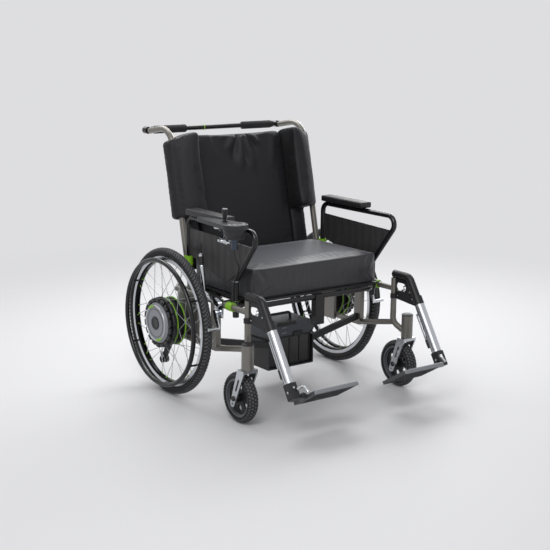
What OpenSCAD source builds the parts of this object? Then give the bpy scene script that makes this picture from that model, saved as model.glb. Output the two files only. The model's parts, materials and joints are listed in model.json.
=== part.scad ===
// Wide wheelchair with power-assist hub wheels, a joystick and an under-seat battery.
// Millimetres, +Z up, the front of the chair faces -Y, the occupant's left is +X.
// Places are given from the rear axle and the floor; the whole chair is then
// shifted along Y so that its box is centred on the origin.

/* [Rear wheels] */
// Outside diameter of the rear tyre
wheel_d = 610; // [560:1:640]
// Width of the rear tyre
tyre_w = 38; // [30:1:44]
// Distance from the side frame's tube out to the wheel's middle plane
wheel_out = 60; // [60:1:82]
// Radius where the tyre sits on the rim
rim_r = 271; // [268:1:274]
// Depth of the rim, from the tyre seat inwards
rim_depth = 21; // [16:1:26]
// Width of the rim
rim_w = 27; // [25:1:30]
// Radius of the handrim, to its tube's middle
handrim_r = 259; // [257:1:261]
// Thickness of the handrim tube
handrim_d = 19; // [16:1:22]
// How far the handrim stands outside the wheel's middle plane
handrim_out = 48; // [42:1:54]
// Number of tabs that carry the handrim
handrim_tabs = 6; // [4:1:8]
// Spokes on each hub flange, an even number
flange_spokes = 18; // [12:2:20]
// Thickness of a spoke
spoke_d = 2.4; // [2:0.1:3]

/* [Hub motors] */
// Radius of the hub drum
drum_r = 84; // [80:1:88]
// Radius of the spoke flanges
flange_r = 98; // [95:1:101]
// Distance of each flange from the wheel's middle plane
flange_out = 18.5; // [16:0.5:22]
// Radius of the scalloped ring outside the outer flange
drum_ring_r = 105; // [102:1:108]
// Distance from the middle plane to the drum's inner face
drum_in = 24; // [22:1:28]
// Distance from the middle plane to the drum's outer face
drum_out = 46; // [44:1:50]
// Distance from the middle plane to the hub cover's face
cover_out = 66; // [62:1:70]
// Thickness of the axle
axle_d = 20; // [16:1:22]

/* [Casters] */
// Diameter of the caster
caster_d = 200; // [185:1:203]
// Width of the caster tyre
caster_w = 48; // [40:1:50]
// Distance from the side frame's tube out to the caster's middle plane
caster_out = 35; // [33:1:38]
// Distance from the rear axle forward to the caster head
caster_head_y = 522; // [518:1:526]
// Distance from the caster head back to the caster's axle
caster_trail = 44; // [36:1:50]
// Height of the underside of the caster head
caster_head_z = 222; // [220:1:226]
// Length of the caster head
caster_head_h = 96; // [90:1:104]
// Outside diameter of the caster head
caster_head_d = 48; // [46:1:52]

/* [Side frames] */
// Distance from the armrest's tube out to the side frame's tube
frame_out = 23.3; // [23.3:0.1:25]
// Thickness of the frame tubes
frame_tube_d = 25; // [22:1:26]
// Height of the top tube
frame_top_z = 430; // [426:1:432]
// Height of the lower tube at its rear end
frame_low_z = 238; // [234:1:244]
// Height of the lower tube at the front post
frame_low_front_z = 285; // [278:1:290]
// Distance from the rear axle forward to the front post
front_post_y = 472; // [468:1:476]
// Height of the front post
front_post_h = 476; // [470:1:480]
// Distance from the rear axle forward to the upright
upright_y = 255; // [245:1:262]
// Diameter of the open socket at the rear of each lower tube
tail_bore_d = 19; // [16:0.5:20]
// Depth of that socket
tail_bore_h = 60; // [40:1:70]

/* [Seat and back] */
// Width of the seat cushion
seat_w = 646; // [600:1:700]
// Depth of the seat cushion
seat_depth = 424; // [410:1:428]
// Thickness of the seat cushion at its front
seat_h = 126; // [110:1:130]
// How far the back canes stand inside the armrests' tubes
cane_in = 9.7; // [8:0.1:11]
// Thickness of the back canes
cane_d = 26; // [24:1:26]
// Recline of the back
recline = 13; // [11:0.5:14]
// Height where the canes turn back into the handles
handle_z = 1090; // [1085:1:1100]
// Distance from the rear axle back to the end of the handles
handle_end_y = 290; // [285:1:300]
// How far the back cushion reaches out past the canes
back_over = 30; // [24:1:34]
// How far the top of the back cushion lies under the canes' top corner
back_top_drop = 26; // [20:1:40]
// How far the side bolsters' tops fall towards their outer edges
bolster_fall = 27; // [10:1:34]
// Depth of the side bolsters at their inner edges
back_depth = 118; // [110:1:122]
// How far the side bolsters stand out of the middle
bolster_rise = 87; // [78:1:90]

/* [Armrests] */
// Clearance between the seat cushion and the armrests' tubes
arm_gap = 20.7; // [18:0.1:24]
// Thickness of the armrest tube
arm_tube_d = 22; // [20:1:22]
// Height of the armrest tube
arm_z = 737; // [730:1:745]
// Length of the arm pad
arm_pad_l = 275; // [240:1:285]
// Width of the arm pad
arm_pad_w = 60; // [50:1:66]
// Thickness of the arm pad
arm_pad_h = 27; // [22:1:30]

/* [Leg rests] */
// Slant of the leg rests from upright
leg_angle = 32; // [30:0.5:34]
// How far the hanger's top tube stands over the front post
hanger_rise = 17; // [16.5:0.5:22]
// Length of the silver calf tube that shows
calf_l = 206; // [195:1:215]
// Thickness of the calf tube
calf_d = 40; // [36:1:41]
// Width of the footplate
footplate_w = 208; // [190:1:220]
// Depth of the footplate, heel to toe
footplate_depth = 143; // [130:1:150]
// Thickness of the footplate
footplate_t = 14; // [10:1:16]
// How far the leg rest can be let out
leg_travel = 30; // [20:1:36]

/* [Joystick and battery] */
// Radius of the joystick's round panel
joy_r = 52; // [46:1:56]
// Radius of the joystick's drum
joy_drum_r = 36; // [32:1:37]
// Width of the battery
battery_w = 224; // [200:1:230]
// Depth of the battery
battery_depth = 140; // [120:1:150]
// Height of the battery's case
battery_h = 128; // [110:1:140]
// Height of the battery's lid
battery_lid_h = 54; // [46:1:60]

/* [Hidden] */
$fn = 48;

// Sides of the chair
left = 1;
right = -1;

// Clearances: between moving pieces, of a running fit, and the reach of every cut
gap = 0.3;
run_fit = 0.05;
overrun = 2;

// At a bend the straight runs lap the bent run, which is thinner by a hair
weld_lap = 0.5;
weld_step = 0.05;

// Colours
champagne = "#b9b2a2";
black_gloss = "#1c1c1f";
lime = "#7cb82f";
nylon = "#2b2b30";
silver = "#c9cbd0";
slate = "#5a6270";
rubber = "#2f2f31";
plastic = "#232326";

// Widths, from the seat outwards
full_turn = 360;
arm_r = arm_tube_d / 2;
arm_x = seat_w / 2 + arm_gap + arm_r;
cane_x = arm_x - cane_in;
frame_x = arm_x + frame_out;
wheel_x = frame_x + wheel_out;
caster_x = frame_x + caster_out;
rail_in = 78;
rail_x = frame_x - rail_in;

// Rear wheel
wheel_r = wheel_d / 2;
rim_in = rim_r - rim_depth;
rim_chamfer = 6;
tab_d = 8;
tab_r = rim_r - rim_chamfer - tab_d / 4;
spoke_r = spoke_d / 2;
spoke_angle = 46;
spoke_seat = 4;
flange_t = 4;
drum_wall = 6;
drum_end_wall = 8;
drum_ring_gap = 4;
drum_ring_w = 16;
drum_ring_chamfer = 5;
scallops = 12;
scallop_r = 9;
scallop_depth = 5;
spigot_h = 8;
spigot_wall = 8;
cover_wall = 4;
cover_end_wall = 6;
cover_dome = 9;
inner_bearing_r = 24;
outer_bearing_r = 20;
axle_r = axle_d / 2;
stator_gap = 4;

// Caster
caster_r = caster_d / 2;
caster_rim_r = caster_r - caster_w / 2;
caster_rim_t = 7;
caster_rim_w = 36;
caster_hub_r = 17;
caster_web_t = 10;
caster_holes = 6;
caster_side_gap = 4;
fork_t = 6;
fork_top_r = 20;
fork_foot_r = 13;
fork_foot_drop = 22;
fork_crown_h = 12;
fork_slot_w = 10;
fork_slot_shares = [0.28, 0.66];
fork_hole_r = 4.5;
caster_bolt_r = 6;
stem_r = 10;
head_r = caster_head_d / 2;
head_wall = 7;
head_bore_r = head_r - head_wall;
head_bearing_h = 10;
cap_h = 8;
stem_top_gap = 3;

// Side frame
tube_r = frame_tube_d / 2;
tube_step = 0.5;
side_tube_r = tube_r - tube_step;
tail_y = 52;
top_tail_y = 28;
post_bend = 45;
post_foot_rise = 16;
upright_w = 40;
upright_t = 22;
plate_t = 12;
plate_front_y = 110;
plate_rear_y = 40;
plate_rise = 16;
boss_r = 20;
boss_out = 14;
pin_r = 8;
pin_h = 56;

// Seat, saddles and cross member
cane_r = cane_d / 2;
plate_in_x = cane_x + cane_r + gap;
rail_r = 11;
rail_z = frame_top_z + 6;
seat_rear_y = 3;
seat_front_y = seat_rear_y + seat_depth;
rail_lead = 5;
rail_front_y = seat_front_y + rail_lead;
rail_rear_y = 90;
rail_bend = 40;
post_w = 44;
post_t = 30;
post_drop = 124;
saddle_w = 30;
saddle_h = 31;
saddle_lip = 3;
saddle_rear_y = 150;
saddle_front_y = 320;
saddle_wall = 5;
base_t = 9;
base_z = rail_z + rail_r + gap;
seat_z = base_z + base_t + gap;

// Back
cane_ref_y = 6;
cane_ref_z = 563;
cane_foot_z = 345;
handle_bend = 85;
handle_drop = 28;
handle_pin_r = 6;
handle_pin_l = 42;
handle_head_r = 11;
handle_head_t = 6;
bar_r = 10;
eye_r = 15;
eye_l = 28;
grip_r = 17;
grip_l = 165;
grip_end_gap = 17;
grip_in_x = cane_x - eye_r - grip_end_gap - grip_l;
back_low_z = 500;
back_top_z = handle_z - back_top_drop;
bolster_low_z = 715;
groove_in = 105;
groove_x = cane_x - groove_in;

// Armrest
arm_rear_y = 24;
arm_nose_y = 522;
arm_post_y = 360;
arm_knee_z = 530;
arm_bend = 36;
arm_foot_z = frame_top_z - 10;
arm_rear_foot_z = 540;
socket_wall = 6;
socket_floor = 4;
socket_rise = 22;
rear_socket_h = 40;
pad_rear_y = 38;
guard_t = 5;
guard_top_z = 692;
guard_top_front_z = 677;
guard_rear_z = 584;
guard_low_y = 292;
guard_low_z = 508;
guard_front_z = 560;

// Leg rest
hanger_r = 16;
hanger_nose_bend = 35;
hanger_web_t = 8;
hanger_z = front_post_h + hanger_rise;
hanger_web_drop = 103;
hanger_web_z = hanger_z - hanger_web_drop;
hanger_end_y = 626;
hanger_end_drop = 104;
hanger_end_z = hanger_z - hanger_end_drop;
hanger_sleeve_r = 21;
hanger_sleeve_l = 34;
hanger_heel = 24;
hanger_heel_rise = 3;
hook_r = 20;
hook_h = 20;
window_r = 17;
window_w = 26;
calf_wall = 4;
foot_hold_l = 120;
foot_stem_l = foot_hold_l + leg_travel;
foot_block_l = 62;
foot_block_w = 36;
foot_pin_r = 6;
foot_pin_clear = 2;
footplate_s = 262;
footplate_toe = 64;
knuckle_r = 12;
knuckle_l = 40;

// Brake
brake_y = 300;
brake_z = frame_top_z + 2;
brake_plate_t = 5;
brake_plate_w = 56;
brake_plate_h = 76;
brake_pin_r = 5;
lever_t = 8;
lever_hub_r = 11;
lever_bar_r = 7.5;
lever_foot_y = 95;
lever_foot_z = 33;
lever_top_y = 118;
lever_top_z = 170;
lever_grip_r = 9;
lever_grip_l = 58;
shoe_t = 5;
shoe_pin_r = 7;
shoe_rest_gap = 8;
shoe_pivot_back = 10;
shoe_pivot_drop = 37;
shoe_pin_drop = 57;

// Joystick
joy_out = 57.3;
joy_x = arm_x + joy_out;
joy_y = 430;
joy_z = 752;
joy_panel_t = 16;
joy_drum_h = 40;
joy_stem_r = 13;
joy_stem_h = 40;
joy_spigot_r = 8;
wing_root_r = 40;
wing_root_y = 62;
wing_tip_r = 15;
wing_tip_out = 16;
wing_tip_y = 205;
stick_y = 66;
stick_h = 50;
stick_r = 7;
stick_top_r = 9;
stick_ball_r = 9;
stick_well_r = 17;
stick_well_h = 30;
gimbal_t = 5;
gimbal_clear = 2;
stick_taper = 2;
button_r = 6;
button_h = 7;
button_y = 18;
button_rise = 2;
bracket_rear_y = 316;
bracket_t = 10;
bracket_clamp_w = 34;

// Battery
tray_t = 6;
tray_z = 100;
tray_wall_h = 124;
battery_front_y = 250;
tray_arm_w = 18;
tray_arm_h = 26;
tray_arm_y = 245;
tray_arm_z = 222;
tray_arm_out_z = 278;
battery_wall = 4;
battery_handle_r = 6;
battery_handle_w = 110;
battery_handle_h = 24;

// Torque arm
torque_t = 7;
torque_hub_r = 24;
torque_end_y = 112;
torque_end_z = 108;
torque_end_r = 13;
plug_r = 15;
plug_l = 30;

// The chair's reach along Y, from the toe of the footplates to the handle pins' heads
handle_end_z = handle_z - handle_drop;
reach_back = handle_end_y + handle_pin_l + handle_head_t;
toe_s = footplate_s + footplate_t;
reach_front = hanger_end_y + toe_s * sin(leg_angle) + footplate_toe * cos(leg_angle);
origin_y = (reach_front - reach_back) / 2;

// Shapes shared by several pieces
function unit(v) = v / norm(v);
function cane_y(z) = cane_ref_y + (z - cane_ref_z) * tan(recline);

module stand() {
    translate([0, origin_y, 0]) children();
}

// Pieces are drawn on the occupant's left and mirrored for the right
module sided(side) {
    mirror([side == right ? 1 : 0, 0, 0]) children();
}

module both() {
    sided(left) children();
    sided(right) children();
}

// A round bar from one point to another
module rod(p, q, r) {
    d = q - p;
    l = norm(d);
    translate(p) rotate([0, acos(d.z / l), atan2(d.y, d.x)]) cylinder(h = l, r = r);
}

// A round bar along a line of points, with its corners bent to one radius
module bent_rod(points, bend, r) {
    last = len(points) - 1;
    ways = [for (i = [0:last - 1]) unit(points[i + 1] - points[i])];
    turns = [for (i = [1:last - 1]) acos(ways[i - 1] * ways[i])];
    trims = concat([0], [for (t = turns) bend * tan(t / 2)], [0]);
    laps = concat([0], [for (t = turns) weld_lap], [0]);
    for (i = [0:last - 1]) {
        rod(points[i] + ways[i] * (trims[i] - laps[i]),
            points[i + 1] - ways[i] * (trims[i + 1] - laps[i + 1]), r);
    }
    for (i = [1:last - 1]) {
        u = ways[i - 1];
        v = ways[i];
        m = unit(v - u * (u * v));
        n = cross(u, m);
        c = points[i] - u * trims[i] + m * bend;
        multmatrix([[-m.x, u.x, n.x, c.x], [-m.y, u.y, n.y, c.y], [-m.z, u.z, n.z, c.z], [0, 0, 0, 1]])
            rotate_extrude(angle = turns[i - 1]) translate([bend, 0]) circle(r - weld_step);
    }
}

// A plate whose outline lies in the Y-Z plane, from x to x + t
module side_plate(x, t) {
    translate([x, 0, 0]) rotate([90, 0, 90]) linear_extrude(t) children();
}

// A cylinder along X
module cross_pin(x, y, z, l, r) {
    translate([x, y, z]) rotate([0, 90, 0]) cylinder(h = l, r = r);
}

// A ring of a padded form: a rounded oblong whose sides are drawn in between its corners
pillow_sides = 36;
pillow_power = 6;
function oblong(a, b, pull, z) = [for (i = [0:pillow_sides - 1])
    let (t = full_turn * (i + 1 / 2) / pillow_sides,
        c = sign(cos(t)) * pow(abs(cos(t)), 1 / pillow_power),
        s = sign(sin(t)) * pow(abs(sin(t)), 1 / pillow_power))
    [a * c - pull * c * (1 - s * s), b * s - pull * s * (1 - c * c), z]];

// A padded form standing on z = 0, centred in X and Y, with a crowned top
module pillow(w, d, h, edge, crown, pull) {
    edge_shares = [[1, 0], [0.3, 0.3], [0, 1]];
    crown_shares = [0.72, 0.4];
    low = [for (e = edge_shares) oblong(w / 2 - edge * e[0], d / 2 - edge * e[0], pull, edge * e[1])];
    high = [for (i = [len(edge_shares) - 1:-1:0]) let (e = edge_shares[i])
        oblong(w / 2 - edge * e[0], d / 2 - edge * e[0], pull, h - crown - edge * e[1])];
    top = [for (f = crown_shares) oblong((w / 2 - edge) * f, (d / 2 - edge) * f, pull * f,
        h - crown * f * f)];
    rings = concat(low, high, top);
    points = concat([for (ring = rings) each ring], [[0, 0, 0], [0, 0, h]]);
    n = pillow_sides;
    last = (len(rings) - 1) * n;
    floor_i = len(points) - 2;
    peak_i = len(points) - 1;
    walls = [for (k = [0:len(rings) - 2], i = [0:n - 1]) let (a = k * n + i, b = k * n + (i + 1) % n)
        each [[a, a + n, b + n], [a, b + n, b]]];
    ends = [for (i = [0:n - 1]) let (j = (i + 1) % n)
        each [[floor_i, i, j], [peak_i, last + j, last + i]]];
    polyhedron(points, concat(walls, ends));
}

// Rear wheels: local +Z points outwards from the chair
ring_low = flange_out + flange_t / 2 + drum_ring_gap;
ring_high = ring_low + drum_ring_w;
spigot_r = drum_r - cover_wall - run_fit;
cover_in = drum_r - cover_wall;

module at_wheel(side) {
    translate([side * wheel_x, 0, wheel_r]) rotate([0, 90 * side, 0]) children();
}

module ring(r_out, r_in, h) {
    difference() {
        cylinder(h = h, r = r_out);
        translate([0, 0, -overrun]) cylinder(h = h + 2 * overrun, r = r_in);
    }
}

module tyre(side) {
    color(rubber) at_wheel(side) rotate_extrude() difference() {
        translate([wheel_r - tyre_w / 2, 0]) circle(d = tyre_w);
        translate([0, -tyre_w]) square([rim_r, 2 * tyre_w]);
    }
}

module rim(side) {
    w = rim_w / 2;
    color(silver) at_wheel(side) rotate_extrude() polygon([
        [rim_in, rim_chamfer - w], [rim_in + rim_chamfer, -w], [rim_r, -w],
        [rim_r, w], [rim_in + rim_chamfer, w], [rim_in, w - rim_chamfer]]);
}

// Crossed spokes: each leaves its flange on one face and leans forwards or back to the rim
module spokes(side) {
    color(silver) at_wheel(side) for (flange = [-1, 1], i = [0:flange_spokes - 1]) {
        lean = i % 2 == 0 ? 1 : -1;
        a = full_turn * (i + (flange + 1) / 4) / flange_spokes;
        b = a + lean * spoke_angle;
        foot_r = flange_r - spoke_seat;
        head_at_r = rim_in + spoke_seat / 2;
        foot_z = flange * flange_out + lean * (flange_t / 2 + spoke_r / 2);
        head_z = flange * rim_chamfer / 2;
        rod([foot_r * cos(a), foot_r * sin(a), foot_z], [head_at_r * cos(b), head_at_r * sin(b), head_z],
            spoke_r);
    }
}

module handrim(side) {
    color(black_gloss) at_wheel(side) {
        rotate_extrude() translate([handrim_r, handrim_out]) circle(d = handrim_d);
        for (i = [0:handrim_tabs - 1]) rotate([0, 0, full_turn * i / handrim_tabs])
            translate([tab_r, 0, rim_w / 2]) cylinder(h = handrim_out - rim_w / 2, d = tab_d);
    }
}

module drum_outline() {
    polygon([[0, ring_low], [drum_ring_r, ring_low], [drum_ring_r, ring_high - drum_ring_chamfer],
        [drum_ring_r - drum_ring_chamfer, ring_high], [0, ring_high]]);
    translate([0, -drum_in]) square([drum_r, drum_in + drum_out]);
    translate([0, drum_out]) square([spigot_r, spigot_h]);
    for (flange = [-1, 1]) translate([0, flange * flange_out - flange_t / 2]) square([flange_r, flange_t]);
}

module hub_drum(side) {
    color(plastic) at_wheel(side) difference() {
        rotate_extrude() difference() {
            drum_outline();
            translate([0, drum_end_wall - drum_in])
                square([drum_r - drum_wall, drum_in + drum_out - 2 * drum_end_wall]);
            translate([0, -drum_in - overrun]) square([inner_bearing_r, drum_end_wall + 2 * overrun]);
            translate([0, drum_out - drum_end_wall - overrun])
                square([outer_bearing_r, drum_end_wall + 2 * overrun]);
            translate([0, drum_out]) square([spigot_r - spigot_wall, spigot_h + overrun]);
        }
        for (i = [0:scallops - 1]) rotate([0, 0, full_turn * i / scallops])
            translate([drum_ring_r + scallop_r - scallop_depth, 0, ring_low - overrun])
                cylinder(h = drum_ring_w + 2 * overrun, r = scallop_r);
    }
}

// The cover turns on the drum's spigot to couple or free the drive
module hub_cover(side) {
    low = drum_out + gap;
    color(silver) at_wheel(side) rotate_extrude() polygon([
        [cover_in, low], [drum_r, low], [drum_r, cover_out - cover_dome], [drum_r - cover_dome, cover_out],
        [0, cover_out], [0, cover_out - cover_end_wall], [cover_in, cover_out - cover_end_wall]]);
}

module hub_motors() {
    stator_low = drum_end_wall + stator_gap - drum_in;
    stator_high = drum_out - drum_end_wall - stator_gap;
    color(silver) for (side = [left, right]) at_wheel(side) {
        translate([0, 0, plate_in_x - wheel_x]) cylinder(h = wheel_x - plate_in_x + drum_out, r = axle_r);
        translate([0, 0, stator_low])
            cylinder(h = stator_high - stator_low, r = drum_r - drum_wall - stator_gap);
    }
}

module bearings() {
    color(silver) for (side = [left, right]) {
        at_wheel(side) translate([0, 0, -drum_in]) ring(inner_bearing_r - run_fit, axle_r, drum_end_wall);
        at_wheel(side) translate([0, 0, drum_out - drum_end_wall])
            ring(outer_bearing_r - run_fit, axle_r, drum_end_wall);
        for (z = [0, caster_head_h - head_bearing_h])
            translate([side * caster_x, -caster_head_y, caster_head_z + z])
                ring(head_bore_r, stem_r + run_fit, head_bearing_h);
    }
}

module torque_arms() {
    x = frame_x + boss_out;
    color(plastic) both() {
        difference() {
            side_plate(x, torque_t) hull() {
                translate([0, wheel_r]) circle(torque_hub_r, $fn = 32);
                translate([torque_end_y, torque_end_z]) circle(torque_end_r, $fn = 32);
            }
            cross_pin(x - overrun, 0, wheel_r, torque_t + 2 * overrun, axle_r);
        }
        cross_pin(x - plug_l / 2, torque_end_y, torque_end_z, plug_l, plug_r);
    }
}

// Casters
fork_in_x = caster_w / 2 + caster_side_gap;
crown_z = caster_head_z - gap - fork_crown_h;
fork_foot_back = 8;

module at_head(side) {
    translate([side * caster_x, -caster_head_y, 0]) children();
}

module caster_fork(side) {
    color(silver) at_head(side) {
        difference() {
            for (x = [-fork_in_x - fork_t, fork_in_x]) side_plate(x, fork_t) hull() {
                translate([-fork_top_r, crown_z]) square([2 * fork_top_r, fork_crown_h]);
                translate([caster_trail + fork_foot_back, caster_r - fork_foot_drop])
                    circle(fork_foot_r, $fn = 32);
            }
            side_plate(-fork_in_x - fork_t - overrun, 2 * (fork_in_x + fork_t + overrun)) hull()
                for (f = fork_slot_shares)
                    translate([caster_trail * f, crown_z + (caster_r - crown_z) * f])
                        circle(d = fork_slot_w, $fn = 32);
            cross_pin(-fork_in_x - fork_t - overrun, caster_trail + fork_foot_back, caster_r - fork_foot_drop,
                2 * (fork_in_x + fork_t + overrun), fork_hole_r);
        }
        translate([-fork_in_x - fork_t, -fork_top_r, crown_z])
            cube([2 * (fork_in_x + fork_t), 2 * fork_top_r, fork_crown_h]);
        translate([0, 0, crown_z])
            cylinder(h = caster_head_z + caster_head_h - stem_top_gap - crown_z, r = stem_r);
        cross_pin(-fork_in_x - fork_t, caster_trail, caster_r, 2 * (fork_in_x + fork_t), caster_bolt_r);
    }
}

module at_caster(side) {
    at_head(side) translate([0, caster_trail, caster_r]) rotate([0, 90, 0]) children();
}

module caster_wheel(side) {
    hub_l = 2 * (fork_in_x - gap);
    hole_at_r = (caster_hub_r + caster_rim_r - caster_rim_t) / 2;
    hole_r = (caster_rim_r - caster_rim_t - caster_hub_r) / 4;
    color(silver) at_caster(side) difference() {
        union() {
            translate([0, 0, -hub_l / 2]) cylinder(h = hub_l, r = caster_hub_r);
            translate([0, 0, -caster_web_t / 2])
                cylinder(h = caster_web_t, r = caster_rim_r - caster_rim_t / 2);
            translate([0, 0, -caster_rim_w / 2])
                ring(caster_rim_r, caster_rim_r - caster_rim_t, caster_rim_w);
        }
        translate([0, 0, -hub_l]) cylinder(h = 2 * hub_l, r = caster_bolt_r + run_fit);
        for (i = [0:caster_holes - 1]) rotate([0, 0, full_turn * i / caster_holes])
            translate([hole_at_r, 0, -caster_web_t]) cylinder(h = 2 * caster_web_t, r = hole_r);
    }
}

module caster_tyre(side) {
    color(rubber) at_caster(side) rotate_extrude() difference() {
        translate([caster_rim_r, 0]) circle(d = caster_w);
        translate([0, -caster_w]) square([caster_rim_r, 2 * caster_w]);
    }
}

module caster_head_caps() {
    color(plastic) for (side = [left, right]) at_head(side)
        translate([0, 0, caster_head_z + caster_head_h]) rotate_extrude()
            polygon([[0, 0], [head_r, 0], [head_r, cap_h / 2], [head_r - cap_h, cap_h], [0, cap_h]]);
}

// Side frames
module side_frame() {
    difference() {
        union() {
            rod([frame_x, top_tail_y, frame_top_z], [frame_x, -front_post_y, frame_top_z], side_tube_r);
            bent_rod([[frame_x, -front_post_y, front_post_h], [frame_x, -front_post_y, frame_low_front_z],
                [caster_x, -caster_head_y, caster_head_z + post_foot_rise]], post_bend, tube_r);
            bent_rod([[frame_x, tail_y, frame_low_z], [frame_x, -upright_y, frame_low_z],
                [frame_x, -front_post_y, frame_low_front_z]], post_bend, side_tube_r);
            at_head(left) translate([0, 0, caster_head_z]) cylinder(h = caster_head_h, r = head_r);
            translate([frame_x - upright_t / 2, -upright_y - upright_w / 2, frame_low_z])
                cube([upright_t, upright_w, frame_top_z - frame_low_z]);
            translate([plate_in_x, -plate_front_y, frame_low_z - plate_rise])
                cube([plate_t, plate_front_y + plate_rear_y, frame_top_z - frame_low_z + 2 * plate_rise]);
            cross_pin(plate_in_x, 0, wheel_r, frame_x + boss_out - plate_in_x, boss_r);
        }
        at_head(left) translate([0, 0, caster_head_z - overrun])
            cylinder(h = caster_head_h + 2 * overrun, r = head_bore_r);
        translate([frame_x, -front_post_y, front_post_h - pin_h])
            cylinder(h = pin_h + overrun, r = pin_r + run_fit);
        translate([frame_x, tail_y - tail_bore_h, frame_low_z]) rotate([-90, 0, 0])
            cylinder(h = tail_bore_h + overrun, d = tail_bore_d);
        cross_pin(plate_in_x - overrun, 0, wheel_r, boss_out + frame_x - plate_in_x + 2 * overrun, axle_r);
    }
}

module side_frames() {
    color(champagne) both() side_frame();
}

module top_tube_cut() {
    rod([frame_x, top_tail_y + overrun, frame_top_z], [frame_x, -front_post_y - overrun, frame_top_z],
        side_tube_r);
}

module rail_line() {
    bent_rod([[rail_x, -rail_rear_y, rail_z], [rail_x, -rail_front_y, rail_z], [0, -rail_front_y, rail_z]],
        rail_bend, rail_r);
}

module cross_member() {
    color(black_gloss) {
        both() rail_line();
        rod([-plate_in_x, -rail_rear_y, rail_z], [plate_in_x, -rail_rear_y, rail_z], rail_r);
        translate([-post_w / 2, -rail_front_y - post_t / 2, rail_z + rail_r - post_drop])
            cube([post_w, post_t, post_drop]);
    }
}

// Green saddles hold the seat rails to the top tubes, green sockets take the armrests
module saddle(y) {
    x = rail_x - rail_r - saddle_wall;
    difference() {
        translate([x, -y - saddle_w / 2, rail_z + rail_r - saddle_lip - saddle_h])
            cube([frame_x - x, saddle_w, saddle_h]);
        rod([rail_x, -y - saddle_w, rail_z], [rail_x, saddle_w - y, rail_z], rail_r);
        top_tube_cut();
    }
}

module front_socket() {
    low = arm_foot_z - gap - socket_floor;
    half = arm_r + socket_wall;
    difference() {
        union() {
            translate([arm_x, -arm_post_y, low]) cylinder(h = frame_top_z + socket_rise - low, r = half);
            translate([frame_x, half - arm_post_y, frame_top_z]) rotate([90, 0, 0])
                cylinder(h = 2 * half, r = side_tube_r + socket_wall - tube_step);
        }
        top_tube_cut();
        translate([arm_x, -arm_post_y, arm_foot_z - gap])
            cylinder(h = 2 * frame_tube_d + socket_rise, r = arm_r + run_fit);
    }
}

module rear_socket() {
    low = arm_rear_foot_z - gap - socket_floor;
    difference() {
        union() {
            translate([arm_x, -arm_rear_y, low]) cylinder(h = rear_socket_h, r = arm_r + socket_wall);
            translate([arm_x - arm_r, -arm_rear_y, low + socket_floor])
                cube([2 * arm_r, arm_rear_y, rear_socket_h - 2 * socket_floor]);
        }
        translate([arm_x, -arm_rear_y, arm_rear_foot_z - gap])
            cylinder(h = rear_socket_h + overrun, r = arm_r + run_fit);
        cane_line(cane_r);
    }
}

module seat_saddles() {
    color(lime) both() {
        saddle(saddle_rear_y);
        saddle(saddle_front_y);
        front_socket();
        rear_socket();
    }
}

module seat_base() {
    color(plastic) translate([-seat_w / 2, -seat_front_y, base_z]) cube([seat_w, seat_depth, base_t]);
}

seat_edge = 22;
seat_crown = 14;
seat_pull = 7;

module seat_cushion() {
    color(nylon) translate([0, seat_depth / 2 - seat_front_y, seat_z])
        pillow(seat_w, seat_depth, seat_h, seat_edge, seat_crown, seat_pull);
}

// Back canes, push bar and back cushion
module cane_line(r) {
    bent_rod([[cane_x, cane_y(cane_foot_z), cane_foot_z], [cane_x, cane_y(handle_z), handle_z],
        [cane_x, handle_end_y, handle_end_z]], handle_bend, r);
}

module along_y(x, y, z, l, r) {
    translate([x, y, z]) rotate([-90, 0, 0]) cylinder(h = l, r = r);
}

module back_canes() {
    color(champagne) both() {
        cane_line(cane_r);
        along_y(cane_x, handle_end_y - cane_r, handle_end_z, cane_r + handle_pin_l + handle_head_t / 2,
            handle_pin_r);
        along_y(cane_x, handle_end_y + handle_pin_l, handle_end_z, handle_head_t, handle_head_r);
    }
}

eye_y = handle_end_y + handle_pin_l - gap - eye_l;
bar_y = eye_y + eye_l / 2;

module push_bar() {
    slot_w = 2 * (handle_pin_r + gap);
    color(black_gloss) difference() {
        union() {
            rod([-cane_x, bar_y, handle_end_z], [cane_x, bar_y, handle_end_z], bar_r);
            for (x = [-cane_x, cane_x]) along_y(x, eye_y, handle_end_z, eye_l, eye_r);
        }
        along_y(-cane_x, eye_y - overrun, handle_end_z, eye_l + 2 * overrun, handle_pin_r + run_fit);
        along_y(cane_x, eye_y - overrun, handle_end_z, eye_l + 2 * overrun, handle_pin_r + gap);
        translate([cane_x - slot_w / 2, eye_y - overrun, handle_end_z])
            cube([slot_w, eye_l + 2 * overrun, 2 * eye_r]);
    }
}

module push_grips() {
    color(rubber) both() translate([grip_in_x, bar_y, handle_end_z]) rotate([0, 90, 0])
        ring(grip_r, bar_r, grip_l);
}

// The back leans: local +Z runs up the canes, local -Y faces the occupant
back_edge = 9;
back_crown = 6;
back_pull = 4;
bolster_edge = 16;
bolster_crown = 5;
back_rear = 51;
back_lap = 12;
sling_t = 26;
sling_lap = 30;

module at_back(z) {
    translate([0, cane_y(z), z]) rotate([-recline, 0, 0]) children();
}

function up_back(z_low, z_high) = (z_high - z_low) / cos(recline);

module back_middle() {
    h = up_back(back_low_z, back_top_z);
    at_back(back_low_z) translate([0, back_rear, h / 2]) rotate([90, 0, 0])
        pillow(2 * (groove_x + back_lap), h, back_depth - bolster_rise, back_edge, back_crown, back_pull);
}

// A bolster's outline, as shares of its width from the groove and of its depth from the rear
bolster_shares = [[0, 0], [0.5, 0], [0.88, 0], [0.97, 0.06], [1, 0.19], [0.99, 0.36], [0.93, 0.52],
    [0.78, 0.67], [0.56, 0.82], [0.32, 0.94], [0.16, 0.99], [0.06, 0.96], [0.02, 0.86], [0, 0.6], [0, 0.3]];
bolster_middle_share = [0.45, 0.42];
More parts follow.
